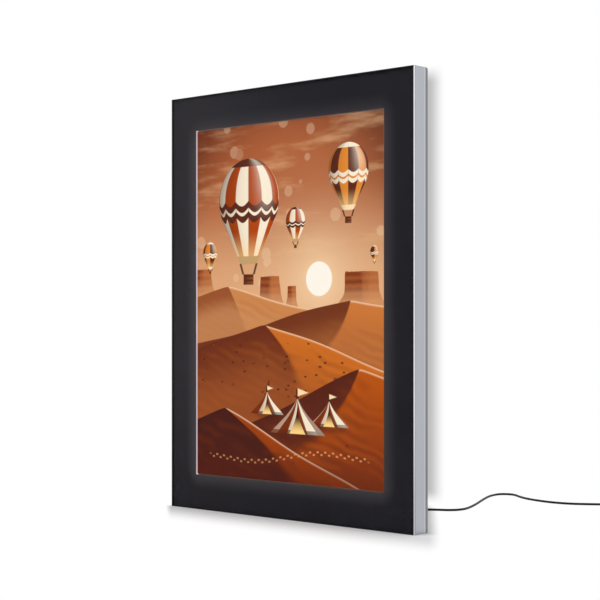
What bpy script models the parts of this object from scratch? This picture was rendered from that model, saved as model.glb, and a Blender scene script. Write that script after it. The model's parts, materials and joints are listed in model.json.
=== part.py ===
"""Illuminated poster frame, in metres, +Z up.

The frame stands on its lower edge with its face towards -Y. The origin is at the middle of its
footprint, on the surface it stands on. A clear cover with a black border is held by magnets and
pulls straight off. Behind it a backlit film lies on an opal panel in a white tray, and five LED
bars on the rear panel light it. A low-voltage lead runs to a plug-in power supply.
"""

import math

import bmesh
import bpy
from mathutils import Matrix, Vector

# Outer frame
FRAME_WIDTH = 0.530
FRAME_HEIGHT = 0.704
FRAME_DEPTH = 0.0435
BORDER_WIDTH = 0.059
FIT_GAP = 0.0003
CUT_OVERRUN = 0.002
MERGE_DISTANCE = 0.000001

# Front cover, its printed border and the strips bonded behind it
COVER_THICKNESS = 0.004
COVER_BEVEL = 0.0005
PRINT_THICKNESS = 0.0004
CARRIER_THICKNESS = 0.004
CARRIER_LIP = 0.001
CARRIER_BEVEL = 0.0006
KEEPER_WIDTH = 0.012
KEEPER_THICKNESS = 0.001
KEEPER_END_ROOM = 0.080

# Poster, diffuser and the tray that holds them
POSTER_OVERLAP = 0.004
POSTER_THICKNESS = 0.0004
POCKET_CLEARANCE = 0.0005
DIFFUSER_THICKNESS = 0.003
TRAY_LEDGE_THICKNESS = 0.002
TRAY_LEDGE_WIDTH = 0.005
MAGNET_LENGTH = 0.030
MAGNET_WIDTH = 0.010
MAGNET_THICKNESS = 0.003
MAGNETS_PER_SIDE = 3

# Aluminium profile
RAIL_WIDTH = 0.022
RAIL_WALL = 0.002
RAIL_FIN_REACH = 0.010
RAIL_FRONT_BEVEL = 0.0005
REAR_RADIUS = 0.013
REAR_ARC_STEPS = 8
KEY_LEG = 0.060
KEY_THICKNESS = 0.006

# Rear panel, its screws and the wall bumpers
PANEL_RECESS = 0.0065
PANEL_THICKNESS = 0.002
PANEL_SCREW_SHANK = 0.0015
PANEL_SCREW_HEAD = 0.0034
PANEL_SCREW_HEAD_HEIGHT = 0.0020
PANEL_SCREW_CORNER_ROOM = 0.110
BUMPER_RADIUS = 0.004
BUMPER_HEIGHT = 0.0035
BUMPER_EDGE = 0.0008
BUMPER_CORNER_ROOM = 0.045

# LED bars and their harness
LED_BAR_COUNT = 5
LED_BAR_WIDTH = 0.014
LED_BAR_THICKNESS = 0.0016
LENSES_PER_BAR = 8
LENS_RADIUS = 0.006
LENS_HEIGHT = 0.0045
LENS_SINK = 0.0005
HARNESS_RADIUS = 0.0009
HARNESS_TURN_RADIUS = 0.0044

# Keyhole hangers
HANGER_WIDTH = 0.050
HANGER_DROP = 0.032
HANGER_THICKNESS = 0.0015
HANGER_CORNER_ROOM = 0.075
HANGER_ROUNDING = 0.003
KEYHOLE_RADIUS = 0.0045
KEYHOLE_SLOT_RADIUS = 0.0023
KEYHOLE_RISE = 0.009
KEYHOLE_LOW_ROOM = 0.004
HANGER_SCREW_SHANK = 0.00125
HANGER_SCREW_HEAD = 0.0026
HANGER_SCREW_HEAD_HEIGHT = 0.0011
HANGER_SCREW_SPREAD = 0.034
SCREW_STEPS = 16

# Lead, its strain relief and its notch in the lower profile
LEAD_RADIUS = 0.002
RELIEF_SIDE = 0.095
RELIEF_HEIGHT = 0.062
RELIEF_BLOCK_WIDTH = 0.014
RELIEF_BLOCK_DEPTH = 0.007
RELIEF_BLOCK_HEIGHT = 0.012
RELIEF_BLOCK_BEVEL = 0.001
RELIEF_BOOT_LENGTH = 0.020
RELIEF_BOOT_TOP_RADIUS = 0.0034
RELIEF_BOOT_TIP_RADIUS = 0.0026
RELIEF_SPIGOT_RADIUS = 0.0027
NOTCH_WIDTH = 0.008

# Coil of the unseen length, and its tie
COIL_OUTER_RADIUS = 0.031
COIL_INNER_RADIUS = 0.017
COIL_TURNS_PER_LAYER = 3
COIL_LAYER_RISE = 0.0048
COIL_POINTS_PER_TURN = 24
TIE_THICKNESS = 0.0008
TIE_WIDTH = 0.010
TIE_ANGLE = math.radians(-60)

# Power supply
ADAPTOR_WIDTH = 0.040
ADAPTOR_LENGTH = 0.070
ADAPTOR_HEIGHT = 0.028
ADAPTOR_BEVEL = 0.004
ADAPTOR_BOSS_WIDTH = 0.0135
ADAPTOR_BOSS_LENGTH = 0.036
ADAPTOR_BOSS_HEIGHT = 0.003
ADAPTOR_RELIEF_LENGTH = 0.022
ADAPTOR_RELIEF_BASE_RADIUS = 0.0045
ADAPTOR_RELIEF_TIP_RADIUS = 0.0027
PIN_RADIUS = 0.002
PIN_LENGTH = 0.019
PIN_SPACING = 0.019
PIN_TIP = 0.001

# Depths behind the cover's front, worked out from front to rear
PRINT_FRONT = COVER_THICKNESS + FIT_GAP
RAIL_FRONT = PRINT_FRONT + PRINT_THICKNESS + FIT_GAP
CARRIER_REAR = RAIL_FRONT + CARRIER_THICKNESS
TRAY_FRONT = CARRIER_REAR + FIT_GAP
POSTER_REAR = TRAY_FRONT + POSTER_THICKNESS
DIFFUSER_FRONT = POSTER_REAR + FIT_GAP
DIFFUSER_REAR = DIFFUSER_FRONT + DIFFUSER_THICKNESS
TRAY_LEDGE_FRONT = DIFFUSER_REAR + FIT_GAP
TRAY_REAR = TRAY_LEDGE_FRONT + TRAY_LEDGE_THICKNESS
FRONT_FIN = TRAY_REAR + FIT_GAP
PANEL_REAR = FRAME_DEPTH - PANEL_RECESS
PANEL_FRONT = PANEL_REAR - PANEL_THICKNESS
REAR_FIN = PANEL_FRONT - FIT_GAP - RAIL_WALL
LED_BAR_REAR = PANEL_FRONT - FIT_GAP
OVERALL_DEPTH = FRAME_DEPTH + BUMPER_HEIGHT

# Widths and heights that follow
WINDOW_WIDTH = FRAME_WIDTH - 2 * BORDER_WIDTH
WINDOW_HEIGHT = FRAME_HEIGHT - 2 * BORDER_WIDTH
POSTER_WIDTH = WINDOW_WIDTH + 2 * POSTER_OVERLAP
POSTER_HEIGHT = WINDOW_HEIGHT + 2 * POSTER_OVERLAP
POCKET_WIDTH = POSTER_WIDTH + 2 * POCKET_CLEARANCE
POCKET_HEIGHT = POSTER_HEIGHT + 2 * POCKET_CLEARANCE
MOUTH_WIDTH = FRAME_WIDTH - 2 * RAIL_WIDTH
MOUTH_HEIGHT = FRAME_HEIGHT - 2 * RAIL_WIDTH
CARRIER_OUTER = RAIL_WIDTH + FIT_GAP
CARRIER_INNER = BORDER_WIDTH + CARRIER_LIP
KEEPER_INSET = (CARRIER_OUTER + CARRIER_INNER - KEEPER_WIDTH) / 2
KEEPER_LENGTH = FRAME_HEIGHT - 2 * KEEPER_END_ROOM
HARNESS_HEIGHT = RELIEF_HEIGHT + 2 * HARNESS_TURN_RADIUS
LED_BAR_END = HARNESS_HEIGHT + HARNESS_RADIUS + FIT_GAP
LED_BAR_LENGTH = FRAME_HEIGHT - 2 * LED_BAR_END
LED_BAR_PITCH = (MOUTH_WIDTH - 2 * RAIL_FIN_REACH) / LED_BAR_COUNT
MIDDLE_HEIGHT = FRAME_HEIGHT / 2
RELIEF_X = FRAME_WIDTH / 2 - RELIEF_SIDE
LEAD_DEPTH = PANEL_REAR + FIT_GAP + RELIEF_BLOCK_DEPTH / 2
COIL_FLOOR_HEIGHT = LEAD_RADIUS + TIE_THICKNESS + FIT_GAP
ADAPTOR_LEAD_HEIGHT = ADAPTOR_HEIGHT / 2


def depth_to_y(depth):
    """World Y of a depth behind the cover's front face."""
    return depth - OVERALL_DEPTH / 2


# Route of the free lead: down behind the panel, out through the notch, and along the surface
LEAD_ROUTE = [
    (0.1700, 0.0173, 0.0285),
    (0.1700, 0.0173, 0.0211),
    (0.1700, 0.0188, 0.0138),
    (0.1699, 0.0229, 0.0077),
    (0.1697, 0.0290, 0.0036),
    (0.1692, 0.0361, 0.0022),
    (0.1675, 0.0486, 0.0021),
    (0.1611, 0.0723, 0.0021),
    (0.1442, 0.1065, 0.0021),
    (0.1220, 0.1385, 0.0021),
    (0.1040, 0.1655, 0.0021),
    (0.0940, 0.1905, 0.0021),
    (0.0950, 0.2095, 0.0021),
    (0.1050, 0.2235, 0.0021),
    (0.1200, 0.2325, 0.0021),
    (0.1350, 0.2415, 0.0021),
    (0.1440, 0.2565, 0.0021),
    (0.1430, 0.2805, 0.0021),
    (0.1250, 0.3285, 0.0021),
    (0.0930, 0.3975, 0.0021),
    (0.0710, 0.4495, 0.0021),
    (0.0650, 0.4815, 0.0021),
    (0.0700, 0.4950, 0.0021),
    (0.0830, 0.5005, 0.0021),
    (0.0970, 0.4950, 0.0021),
    (0.1180, 0.4790, 0.0021),
    (0.1420, 0.4650, 0.0021),
    (0.1720, 0.4545, 0.0021),
    (0.2070, 0.4490, 0.0021),
    (0.2400, 0.4545, 0.0021),
    (0.2650, 0.4685, 0.0021),
    (0.2870, 0.4835, 0.0021),
    (0.3110, 0.4935, 0.0023),
    (0.3250, 0.4960, 0.0027),
]
COIL_CENTRE_X = 0.352
COIL_CENTRE_Y = 0.4655
ADAPTOR_CENTRE_X = 0.430
ADAPTOR_CENTRE_Y = 0.4025
TAIL_ROUTE = [
    (0.3700, 0.4965, 0.0068),
    (0.3850, 0.4965, 0.0046),
    (0.3990, 0.4959, 0.0036),
    (0.4110, 0.4940, 0.0040),
    (0.4220, 0.4885, 0.0068),
    (0.4285, 0.4790, 0.0108),
]
ROUTE_SAMPLES_PER_SPAN = 2


def clear_scene():
    """Remove the objects that a new file opens with."""
    for obj in list(bpy.data.objects):
        bpy.data.objects.remove(obj)


def new_collection(name):
    collection = bpy.data.collections.new(name)
    bpy.context.scene.collection.children.link(collection)
    return collection


def make_material(name, colour, roughness, metallic=0.0, alpha=1.0, glow=0.0):
    """A Principled material with one plain colour."""
    material = bpy.data.materials.new(name)
    material.use_nodes = True
    shader = material.node_tree.nodes["Principled BSDF"]
    shader.inputs["Base Color"].default_value = (*colour, 1.0)
    shader.inputs["Roughness"].default_value = roughness
    shader.inputs["Metallic"].default_value = metallic
    shader.inputs["Alpha"].default_value = alpha
    if glow:
        shader.inputs["Emission Color"].default_value = (*colour, 1.0)
        shader.inputs["Emission Strength"].default_value = glow
    return material


def add_object(name, data, material=None, collection=None):
    """Put data in the scene as an object of the frame, or of another collection."""
    obj = bpy.data.objects.new(name, data)
    (collection or FRAME).objects.link(obj)
    if material:
        data.materials.clear()
        data.materials.append(material)
    return obj


def add_cutter(name, mesh):
    """A hidden shape that a Boolean works with."""
    cutter = add_object(name, mesh, collection=CUTTERS)
    cutter.hide_render = True
    cutter.display_type = "WIRE"
    return cutter


def boolean(obj, operand, operation="DIFFERENCE"):
    modifier = obj.modifiers.new(operand.name, "BOOLEAN")
    modifier.operation = operation
    modifier.solver = "EXACT"
    modifier.object = operand


def bevel(obj, width, segments=1):
    modifier = obj.modifiers.new("edges", "BEVEL")
    modifier.width = width
    modifier.segments = segments
    modifier.limit_method = "ANGLE"


def evaluated_mesh(obj):
    """The object's mesh with its modifiers applied, in world space; the object is removed."""
    bpy.context.view_layer.update()
    graph = bpy.context.evaluated_depsgraph_get()
    mesh = bpy.data.meshes.new_from_object(obj.evaluated_get(graph))
    mesh.transform(obj.matrix_world)
    merge_points(mesh)
    bpy.data.objects.remove(obj)
    return mesh


def merge_points(mesh):
    shape = bmesh.new()
    shape.from_mesh(mesh)
    bmesh.ops.remove_doubles(shape, verts=shape.verts, dist=MERGE_DISTANCE)
    shape.to_mesh(mesh)
    shape.free()


def box_mesh(name, size, centre=(0, 0, 0)):
    shape = bmesh.new()
    bmesh.ops.create_cube(shape, size=1)
    bmesh.ops.scale(shape, vec=size, verts=shape.verts)
    bmesh.ops.translate(shape, vec=centre, verts=shape.verts)
    mesh = bpy.data.meshes.new(name)
    shape.to_mesh(mesh)
    shape.free()
    return mesh


def slab_mesh(name, width, height, front, rear):
    """A box centred on the frame's face, between two depths."""
    size = (width, rear - front, height)
    centre = (0, depth_to_y((front + rear) / 2), MIDDLE_HEIGHT)
    return box_mesh(name, size, centre)


def cylinders_mesh(name, radius, length, centres, segments=16):
    """Cylinders along Y about the given centres, in one mesh."""
    shape = bmesh.new()
    for centre in centres:
        place = Matrix.Translation(centre) @ Matrix.Rotation(math.pi / 2, 4, "X")
        bmesh.ops.create_cone(
            shape, cap_ends=True, segments=segments,
            radius1=radius, radius2=radius, depth=length, matrix=place,
        )
    mesh = bpy.data.meshes.new(name)
    shape.to_mesh(mesh)
    shape.free()
    return mesh


def arc(centre, radius, start, end, steps):
    """Points on an arc in a plane, both ends included."""
    angles = [start + (end - start) * step / steps for step in range(steps + 1)]
    return [(centre[0] + radius * math.cos(a), centre[1] + radius * math.sin(a)) for a in angles]


def outline_mesh(name, loops, thickness):
    """A flat outline, its first loop outside and the rest holes, made solid about its plane."""
    curve = bpy.data.curves.new(name, "CURVE")
    curve.dimensions = "2D"
    curve.fill_mode = "BOTH"
    curve.extrude = thickness / 2
    for loop in loops:
        spline = curve.splines.new("POLY")
        spline.points.add(len(loop) - 1)
        for point, (x, y) in zip(spline.points, loop):
            point.co = (x, y, 0, 1)
        spline.use_cyclic_u = True
    return evaluated_mesh(add_object(name, curve, collection=CUTTERS))


def turned_mesh(name, profile, steps=SCREW_STEPS):
    """A solid turned about Z from a profile of (radius, height), top to bottom."""
    mesh = bpy.data.meshes.new(name)
    edges = [(i, i + 1) for i in range(len(profile) - 1)]
    mesh.from_pydata([(radius, 0, height) for radius, height in profile], edges, [])
    obj = add_object(name, mesh, collection=CUTTERS)
    screw = obj.modifiers.new("turn", "SCREW")
    screw.steps = steps
    screw.render_steps = steps
    screw.use_merge_vertices = True
    screw.merge_threshold = MERGE_DISTANCE
    turned = evaluated_mesh(obj)
    turned.shade_smooth()
    turned.set_sharp_from_angle(angle=math.radians(40))
    return turned


def tube(name, points, radius, material, resolution=2):
    """A round tube along points, with closed ends."""
    curve = bpy.data.curves.new(name, "CURVE")
    curve.dimensions = "3D"
    curve.bevel_depth = radius
    curve.bevel_resolution = resolution
    curve.use_fill_caps = True
    spline = curve.splines.new("POLY")
    spline.points.add(len(points) - 1)
    for point, place in zip(spline.points, points):
        point.co = (*place, 1)
    spline.use_smooth = True
    return add_object(name, curve, material)


def smooth_route(points, samples):
    """Points on a smooth curve that passes through the route's own points."""
    route = [Vector(point) for point in points]
    route = [2 * route[0] - route[1]] + route + [2 * route[-1] - route[-2]]
    smooth = []
    for a, b, c, d in zip(route, route[1:], route[2:], route[3:]):
        for sample in range(samples):
            t = sample / samples
            smooth.append(0.5 * (2 * b + (c - a) * t + (2 * a - 5 * b + 4 * c - d) * t ** 2
                                 + (3 * b - a - 3 * c + d) * t ** 3))
    smooth.append(route[-2])
    return smooth


def mitred_bar_mesh(name, loops, length):
    """A bar of one section (inset, depth), its ends cut at 45 degrees along the inset."""
    mesh = outline_mesh(name, loops, length)
    for vertex in mesh.vertices:
        reach = vertex.co.x + FIT_GAP / 2
        vertex.co.z -= math.copysign(reach, vertex.co.z)
    return mesh


def place_on_side(obj, side):
    """Turn a bar of the left side about the frame's middle to one of its four sides."""
    turn = {"left": 0.0, "right": math.pi, "top": math.pi / 2, "bottom": -math.pi / 2}[side]
    reach = FRAME_WIDTH / 2 if side in ("left", "right") else FRAME_HEIGHT / 2
    turned = Matrix.Rotation(turn, 4, "Y")
    middle = Matrix.Translation((0, depth_to_y(0), MIDDLE_HEIGHT))
    obj.matrix_world = middle @ turned @ Matrix.Translation((-reach, 0, 0))


def side_length(side):
    return FRAME_HEIGHT if side in ("left", "right") else FRAME_WIDTH


SIDES = ("left", "right", "top", "bottom")


def make_materials():
    return {
        "clear": make_material("clear_acrylic", (0.90, 0.92, 0.93), 0.05, alpha=0.25),
        "black_print": make_material("black_print", (0.02, 0.02, 0.022), 0.35),
        "pale": make_material("pale_strip", (0.72, 0.70, 0.72), 0.45),
        "steel": make_material("zinc_steel", (0.62, 0.62, 0.60), 0.35, metallic=1.0),
        "film": make_material("poster_film", (0.62, 0.27, 0.13), 0.4, glow=0.6),
        "opal": make_material("opal_acrylic", (0.92, 0.92, 0.90), 0.3),
        "white": make_material("white_plastic", (0.88, 0.88, 0.87), 0.5),
        "magnet": make_material("nickel_magnet", (0.66, 0.65, 0.62), 0.25, metallic=1.0),
        "aluminium": make_material("satin_aluminium", (0.68, 0.69, 0.72), 0.35, metallic=1.0),
        "key": make_material("cast_key", (0.50, 0.50, 0.50), 0.5, metallic=1.0),
        "panel": make_material("rear_panel", (0.80, 0.80, 0.79), 0.55),
        "board": make_material("circuit_board", (0.90, 0.90, 0.86), 0.45),
        "wire": make_material("wire_sheath", (0.55, 0.04, 0.03), 0.45),
        "black": make_material("black_sheath", (0.012, 0.012, 0.013), 0.42),
        "shell": make_material("black_shell", (0.018, 0.018, 0.020), 0.38),
        "brass": make_material("plated_pin", (0.78, 0.74, 0.66), 0.25, metallic=1.0),
        "rubber": make_material("grey_rubber", (0.06, 0.06, 0.065), 0.8),
    }


def build_cover():
    """Clear cover, black border film and the pale strips with their keepers."""
    made = []
    panel = add_object(
        "cover_panel",
        slab_mesh("cover_panel", FRAME_WIDTH, FRAME_HEIGHT, 0, COVER_THICKNESS), MATERIALS["clear"],
    )
    bevel(panel, COVER_BEVEL)
    made.append(panel)
    film_rear = PRINT_FRONT + PRINT_THICKNESS
    film = add_object(
        "border_print",
        slab_mesh("border_print", FRAME_WIDTH, FRAME_HEIGHT, PRINT_FRONT, film_rear),
        MATERIALS["black_print"],
    )
    window = slab_mesh(
        "window_cut", WINDOW_WIDTH, WINDOW_HEIGHT, PRINT_FRONT - CUT_OVERRUN, film_rear + CUT_OVERRUN,
    )
    boolean(film, add_cutter("window_cut", window))
    made.append(film)
    for side in SIDES:
        made.append(build_carrier(side))
    for side in ("left", "right"):
        made.append(build_keeper(side))
    return made


def build_carrier(side):
    """One pale strip; those of the sides have a groove for a keeper."""
    section = [(CARRIER_OUTER, RAIL_FRONT), (CARRIER_INNER - CARRIER_BEVEL, RAIL_FRONT),
               (CARRIER_INNER, RAIL_FRONT + CARRIER_BEVEL), (CARRIER_INNER, CARRIER_REAR)]
    if side in ("left", "right"):
        groove_floor = CARRIER_REAR - KEEPER_THICKNESS - FIT_GAP
        groove_inner = KEEPER_INSET + KEEPER_WIDTH + FIT_GAP
        groove_outer = KEEPER_INSET - FIT_GAP
        section += [(groove_inner, CARRIER_REAR), (groove_inner, groove_floor),
                    (groove_outer, groove_floor), (groove_outer, CARRIER_REAR)]
    section.append((CARRIER_OUTER, CARRIER_REAR))
    name = "carrier_" + side
    strip = add_object(name, mitred_bar_mesh(name, [section], side_length(side)), MATERIALS["pale"])
    place_on_side(strip, side)
    return strip


def build_keeper(side):
    """Steel strip in the groove of a side strip."""
    size = (KEEPER_WIDTH, KEEPER_THICKNESS, KEEPER_LENGTH)
    centre = (KEEPER_INSET + KEEPER_WIDTH / 2, CARRIER_REAR - KEEPER_THICKNESS / 2, 0)
    name = "keeper_" + side
    keeper = add_object(name, box_mesh(name, size, centre), MATERIALS["steel"])
    place_on_side(keeper, side)
    return keeper


def build_poster():
    """Backlit film that lies on the diffuser."""
    mesh = slab_mesh("poster_sheet", POSTER_WIDTH, POSTER_HEIGHT, TRAY_FRONT, POSTER_REAR)
    return add_object("poster_sheet", mesh, MATERIALS["film"])


def build_tray():
    """White tray with the pocket for poster and diffuser, and its magnets."""
    outer_width = MOUTH_WIDTH - 2 * FIT_GAP
    outer_height = MOUTH_HEIGHT - 2 * FIT_GAP
    tray = add_object(
        "light_tray", slab_mesh("light_tray", outer_width, outer_height, TRAY_FRONT, TRAY_REAR),
        MATERIALS["white"],
    )
    pocket = slab_mesh(
        "pocket_cut", POCKET_WIDTH, POCKET_HEIGHT, TRAY_FRONT - CUT_OVERRUN, TRAY_LEDGE_FRONT,
    )
    opening = slab_mesh(
        "ledge_cut", POCKET_WIDTH - 2 * TRAY_LEDGE_WIDTH, POCKET_HEIGHT - 2 * TRAY_LEDGE_WIDTH,
        TRAY_FRONT - CUT_OVERRUN, TRAY_REAR + CUT_OVERRUN,
    )
    boolean(tray, add_cutter("pocket_cut", pocket))
    boolean(tray, add_cutter("ledge_cut", opening))
    build_magnets(tray)
    diffuser = slab_mesh(
        "diffuser_panel", POSTER_WIDTH, POSTER_HEIGHT, DIFFUSER_FRONT, DIFFUSER_REAR,
    )
    add_object("diffuser_panel", diffuser, MATERIALS["opal"])


def build_magnets(tray):
    """Block magnets let into the tray behind the keepers."""
    magnet_mesh = box_mesh("magnet", (MAGNET_WIDTH, MAGNET_THICKNESS, MAGNET_LENGTH))
    hole_size = (MAGNET_WIDTH + 2 * FIT_GAP, MAGNET_THICKNESS + 2 * FIT_GAP + CUT_OVERRUN,
                 MAGNET_LENGTH + 2 * FIT_GAP)
    hole_mesh = box_mesh("magnet_hole", hole_size)
    inset = KEEPER_INSET + KEEPER_WIDTH / 2
    magnet_depth = TRAY_FRONT + FIT_GAP + MAGNET_THICKNESS / 2
    hole_rear = TRAY_FRONT + 2 * FIT_GAP + MAGNET_THICKNESS
    spread = (KEEPER_LENGTH - MAGNET_LENGTH) / (MAGNETS_PER_SIDE - 1)
    for side, sign in (("left", -1), ("right", 1)):
        x = sign * (FRAME_WIDTH / 2 - inset)
        for number in range(MAGNETS_PER_SIDE):
            z = MIDDLE_HEIGHT + (number - (MAGNETS_PER_SIDE - 1) / 2) * spread
            name = f"magnet_{side}_{number + 1}"
            magnet = add_object(name, magnet_mesh, MATERIALS["magnet"])
            magnet.location = (x, depth_to_y(magnet_depth), z)
            hole = add_cutter(name + "_hole", hole_mesh)
            hole.location = (x, depth_to_y(hole_rear - hole_size[1] / 2), z)
            boolean(tray, hole)


def rail_section():
    """Profile section as inset from the outer face and depth behind the cover's front."""
    quarter = math.pi / 2
    arc_centre = (REAR_RADIUS, FRAME_DEPTH - REAR_RADIUS)
    fin_inset = RAIL_WIDTH + RAIL_FIN_REACH
    outline = [
        (0, RAIL_FRONT + RAIL_FRONT_BEVEL),
        (RAIL_FRONT_BEVEL, RAIL_FRONT),
        (RAIL_WIDTH, RAIL_FRONT),
        (RAIL_WIDTH, FRONT_FIN),
        (fin_inset, FRONT_FIN),
        (fin_inset, FRONT_FIN + RAIL_WALL),
        (RAIL_WIDTH, FRONT_FIN + RAIL_WALL),
        (RAIL_WIDTH, REAR_FIN),
        (fin_inset, REAR_FIN),
        (fin_inset, REAR_FIN + RAIL_WALL),
        (RAIL_WIDTH, REAR_FIN + RAIL_WALL),
        (RAIL_WIDTH, FRAME_DEPTH),
    ]
    outline += arc(arc_centre, REAR_RADIUS, quarter, 2 * quarter, REAR_ARC_STEPS)
    chamber = [
        (RAIL_WALL, RAIL_FRONT + RAIL_WALL),
        (RAIL_WIDTH - RAIL_WALL, RAIL_FRONT + RAIL_WALL),
        (RAIL_WIDTH - RAIL_WALL, FRAME_DEPTH - RAIL_WALL),
    ]
    chamber += arc(arc_centre, REAR_RADIUS - RAIL_WALL, quarter, 2 * quarter, REAR_ARC_STEPS)
    return [outline, chamber]


def build_rails():
    """Four mitred profiles, smooth round their rear edge."""
    rails = {}
    for side in SIDES:
        name = "rail_" + side
        mesh = mitred_bar_mesh(name, rail_section(), side_length(side))
        mesh.shade_smooth()
        mesh.set_sharp_from_angle(angle=math.radians(30))
        rails[side] = add_object(name, mesh, MATERIALS["aluminium"])
        place_on_side(rails[side], side)
    return rails


def build_corner_keys():
    """L keys that join the profiles inside their chambers."""
    near = RAIL_WALL + FIT_GAP
    far = RAIL_WIDTH - RAIL_WALL - FIT_GAP
    outline = [(near, near), (KEY_LEG, near), (KEY_LEG, far), (far, far), (far, KEY_LEG), (near, KEY_LEG)]
    mesh = outline_mesh("corner_key", [outline], KEY_THICKNESS)
    depth = RAIL_FRONT + RAIL_WALL + FIT_GAP + KEY_THICKNESS / 2
    stand = Matrix.Rotation(math.pi / 2, 4, "X")
    corners = ((-1, 0, 0), (1, 0, -math.pi / 2), (1, 1, math.pi), (-1, 1, math.pi / 2))
    for number, (sign, top, turn) in enumerate(corners, start=1):
        key = add_object(f"corner_key_{number}", mesh, MATERIALS["key"])
        place = Matrix.Translation((sign * FRAME_WIDTH / 2, depth_to_y(depth), top * FRAME_HEIGHT))
        key.matrix_world = place @ Matrix.Rotation(turn, 4, "Y") @ stand


def panel_screw_places():
    """Two screws a side, and one at the middle of top and bottom, on the profiles' rear fins."""
    x = MOUTH_WIDTH / 2 - RAIL_FIN_REACH / 2
    low = RAIL_WIDTH + RAIL_FIN_REACH / 2
    high = FRAME_HEIGHT - low
    sides = [(sign * x, z) for sign in (-1, 1)
             for z in (PANEL_SCREW_CORNER_ROOM, FRAME_HEIGHT - PANEL_SCREW_CORNER_ROOM)]
    return sides + [(0, low), (0, high)]


def screw_mesh(name, shank, head, head_height, length):
    """Pan-head screw turned about Z, its head upward and seated at zero."""
    dome = head - head_height / 2
    profile = [(0, head_height), (dome, head_height), (head, head_height / 2), (head, 0),
               (shank, 0), (shank, -length), (0, -length)]
    return turned_mesh(name, profile)


def place_screw(name, mesh, material, x, depth, z):
    screw = add_object(name, mesh, material)
    seat = Matrix.Translation((x, depth_to_y(depth), z))
    screw.matrix_world = seat @ Matrix.Rotation(-math.pi / 2, 4, "X")


def build_panel(rails):
    """Rear panel in its recess, screwed to the profiles' rear fins."""
    width = MOUTH_WIDTH - 2 * FIT_GAP
    height = MOUTH_HEIGHT - 2 * FIT_GAP
    panel = add_object(
        "back_panel", slab_mesh("back_panel", width, height, PANEL_FRONT, PANEL_REAR),
        MATERIALS["panel"],
    )
    grip = RAIL_WALL + FIT_GAP + PANEL_THICKNESS + FIT_GAP
    middle_depth = depth_to_y((REAR_FIN + PANEL_REAR) / 2)
    centres = [(x, middle_depth, z) for x, z in panel_screw_places()]
    holes = cylinders_mesh(
        "panel_screw_holes", PANEL_SCREW_SHANK + FIT_GAP, grip + 2 * CUT_OVERRUN, centres,
    )
    holes_cutter = add_cutter("panel_screw_holes", holes)
    boolean(panel, holes_cutter)
    for rail in rails.values():
        boolean(rail, holes_cutter)
    mesh = screw_mesh(
        "panel_screw", PANEL_SCREW_SHANK, PANEL_SCREW_HEAD, PANEL_SCREW_HEAD_HEIGHT, grip + FIT_GAP,
    )
    for number, (x, z) in enumerate(panel_screw_places(), start=1):
        place_screw(f"panel_screw_{number}", mesh, MATERIALS["steel"], x, PANEL_REAR + FIT_GAP, z)
    return panel


def build_led_bars():
    """Circuit boards with a row of lenses, on the panel's inner face."""
    rise = LENS_HEIGHT + LENS_SINK
    angles = [step * math.pi / 8 for step in range(5)]
    profile = [(LENS_RADIUS * math.sin(a), rise * math.cos(a) - LENS_SINK) for a in angles]
    profile.append((0, -LENS_SINK))
    dome = turned_mesh("lens", profile, steps=12)
    pitch = LED_BAR_LENGTH / LENSES_PER_BAR
    lenses = bmesh.new()
    for number in range(LENSES_PER_BAR):
        z = (number - (LENSES_PER_BAR - 1) / 2) * pitch
        first = len(lenses.verts)
        lenses.from_mesh(dome)
        lenses.verts.ensure_lookup_table()
        place = Matrix.Translation((0, -LED_BAR_THICKNESS / 2, z)) @ Matrix.Rotation(math.pi / 2, 4, "X")
        bmesh.ops.transform(lenses, matrix=place, verts=lenses.verts[first:])
    lens_row = bpy.data.meshes.new("lens_row")
    lenses.to_mesh(lens_row)
    lenses.free()
    size = (LED_BAR_WIDTH, LED_BAR_THICKNESS, LED_BAR_LENGTH)
    bar = add_object("led_bar", box_mesh("led_bar", size), collection=CUTTERS)
    boolean(bar, add_cutter("lens_row", lens_row), "UNION")
    bar_mesh = evaluated_mesh(bar)
    for number in range(LED_BAR_COUNT):
        x = (number - (LED_BAR_COUNT - 1) / 2) * LED_BAR_PITCH
        strip = add_object(f"led_bar_{number + 1}", bar_mesh, MATERIALS["board"])
        strip.location = (x, depth_to_y(LED_BAR_REAR - LED_BAR_THICKNESS / 2), MIDDLE_HEIGHT)


def build_harness():
    """Wire that runs under the bars' lower ends and turns back to the lead's spigot."""
    y = depth_to_y(PANEL_FRONT - FIT_GAP - HARNESS_RADIUS)
    reach = (LED_BAR_COUNT - 1) / 2 * LED_BAR_PITCH + LED_BAR_WIDTH / 2
    centre = (reach, RELIEF_HEIGHT + HARNESS_TURN_RADIUS)
    half_circle = arc(centre, HARNESS_TURN_RADIUS, math.pi / 2, -math.pi / 2, 8)
    points = [(-reach, y, HARNESS_HEIGHT)] + [(x, y, z) for x, z in half_circle]
    points.append((RELIEF_X, y, RELIEF_HEIGHT))
    tube("led_harness", points, HARNESS_RADIUS, MATERIALS["wire"])


def keyhole(centre_x, big_z):
    """Outline of a keyhole, its slot upward."""
    half = math.asin(KEYHOLE_SLOT_RADIUS / KEYHOLE_RADIUS)
    quarter = math.pi / 2
    round_part = arc((centre_x, big_z), KEYHOLE_RADIUS, quarter + half, 5 * quarter - half, 20)
    slot_part = arc((centre_x, big_z + KEYHOLE_RISE), KEYHOLE_SLOT_RADIUS, 0, math.pi, 8)
    return round_part + slot_part


def rounded_rectangle(low_x, low_z, high_x, high_z, radius):
    quarter = math.pi / 2
    points = []
    corners = ((high_x - radius, high_z - radius), (low_x + radius, high_z - radius),
               (low_x + radius, low_z + radius), (high_x - radius, low_z + radius))
    for number, centre in enumerate(corners):
        points += arc(centre, radius, number * quarter, (number + 1) * quarter, 3)
    return points


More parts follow.
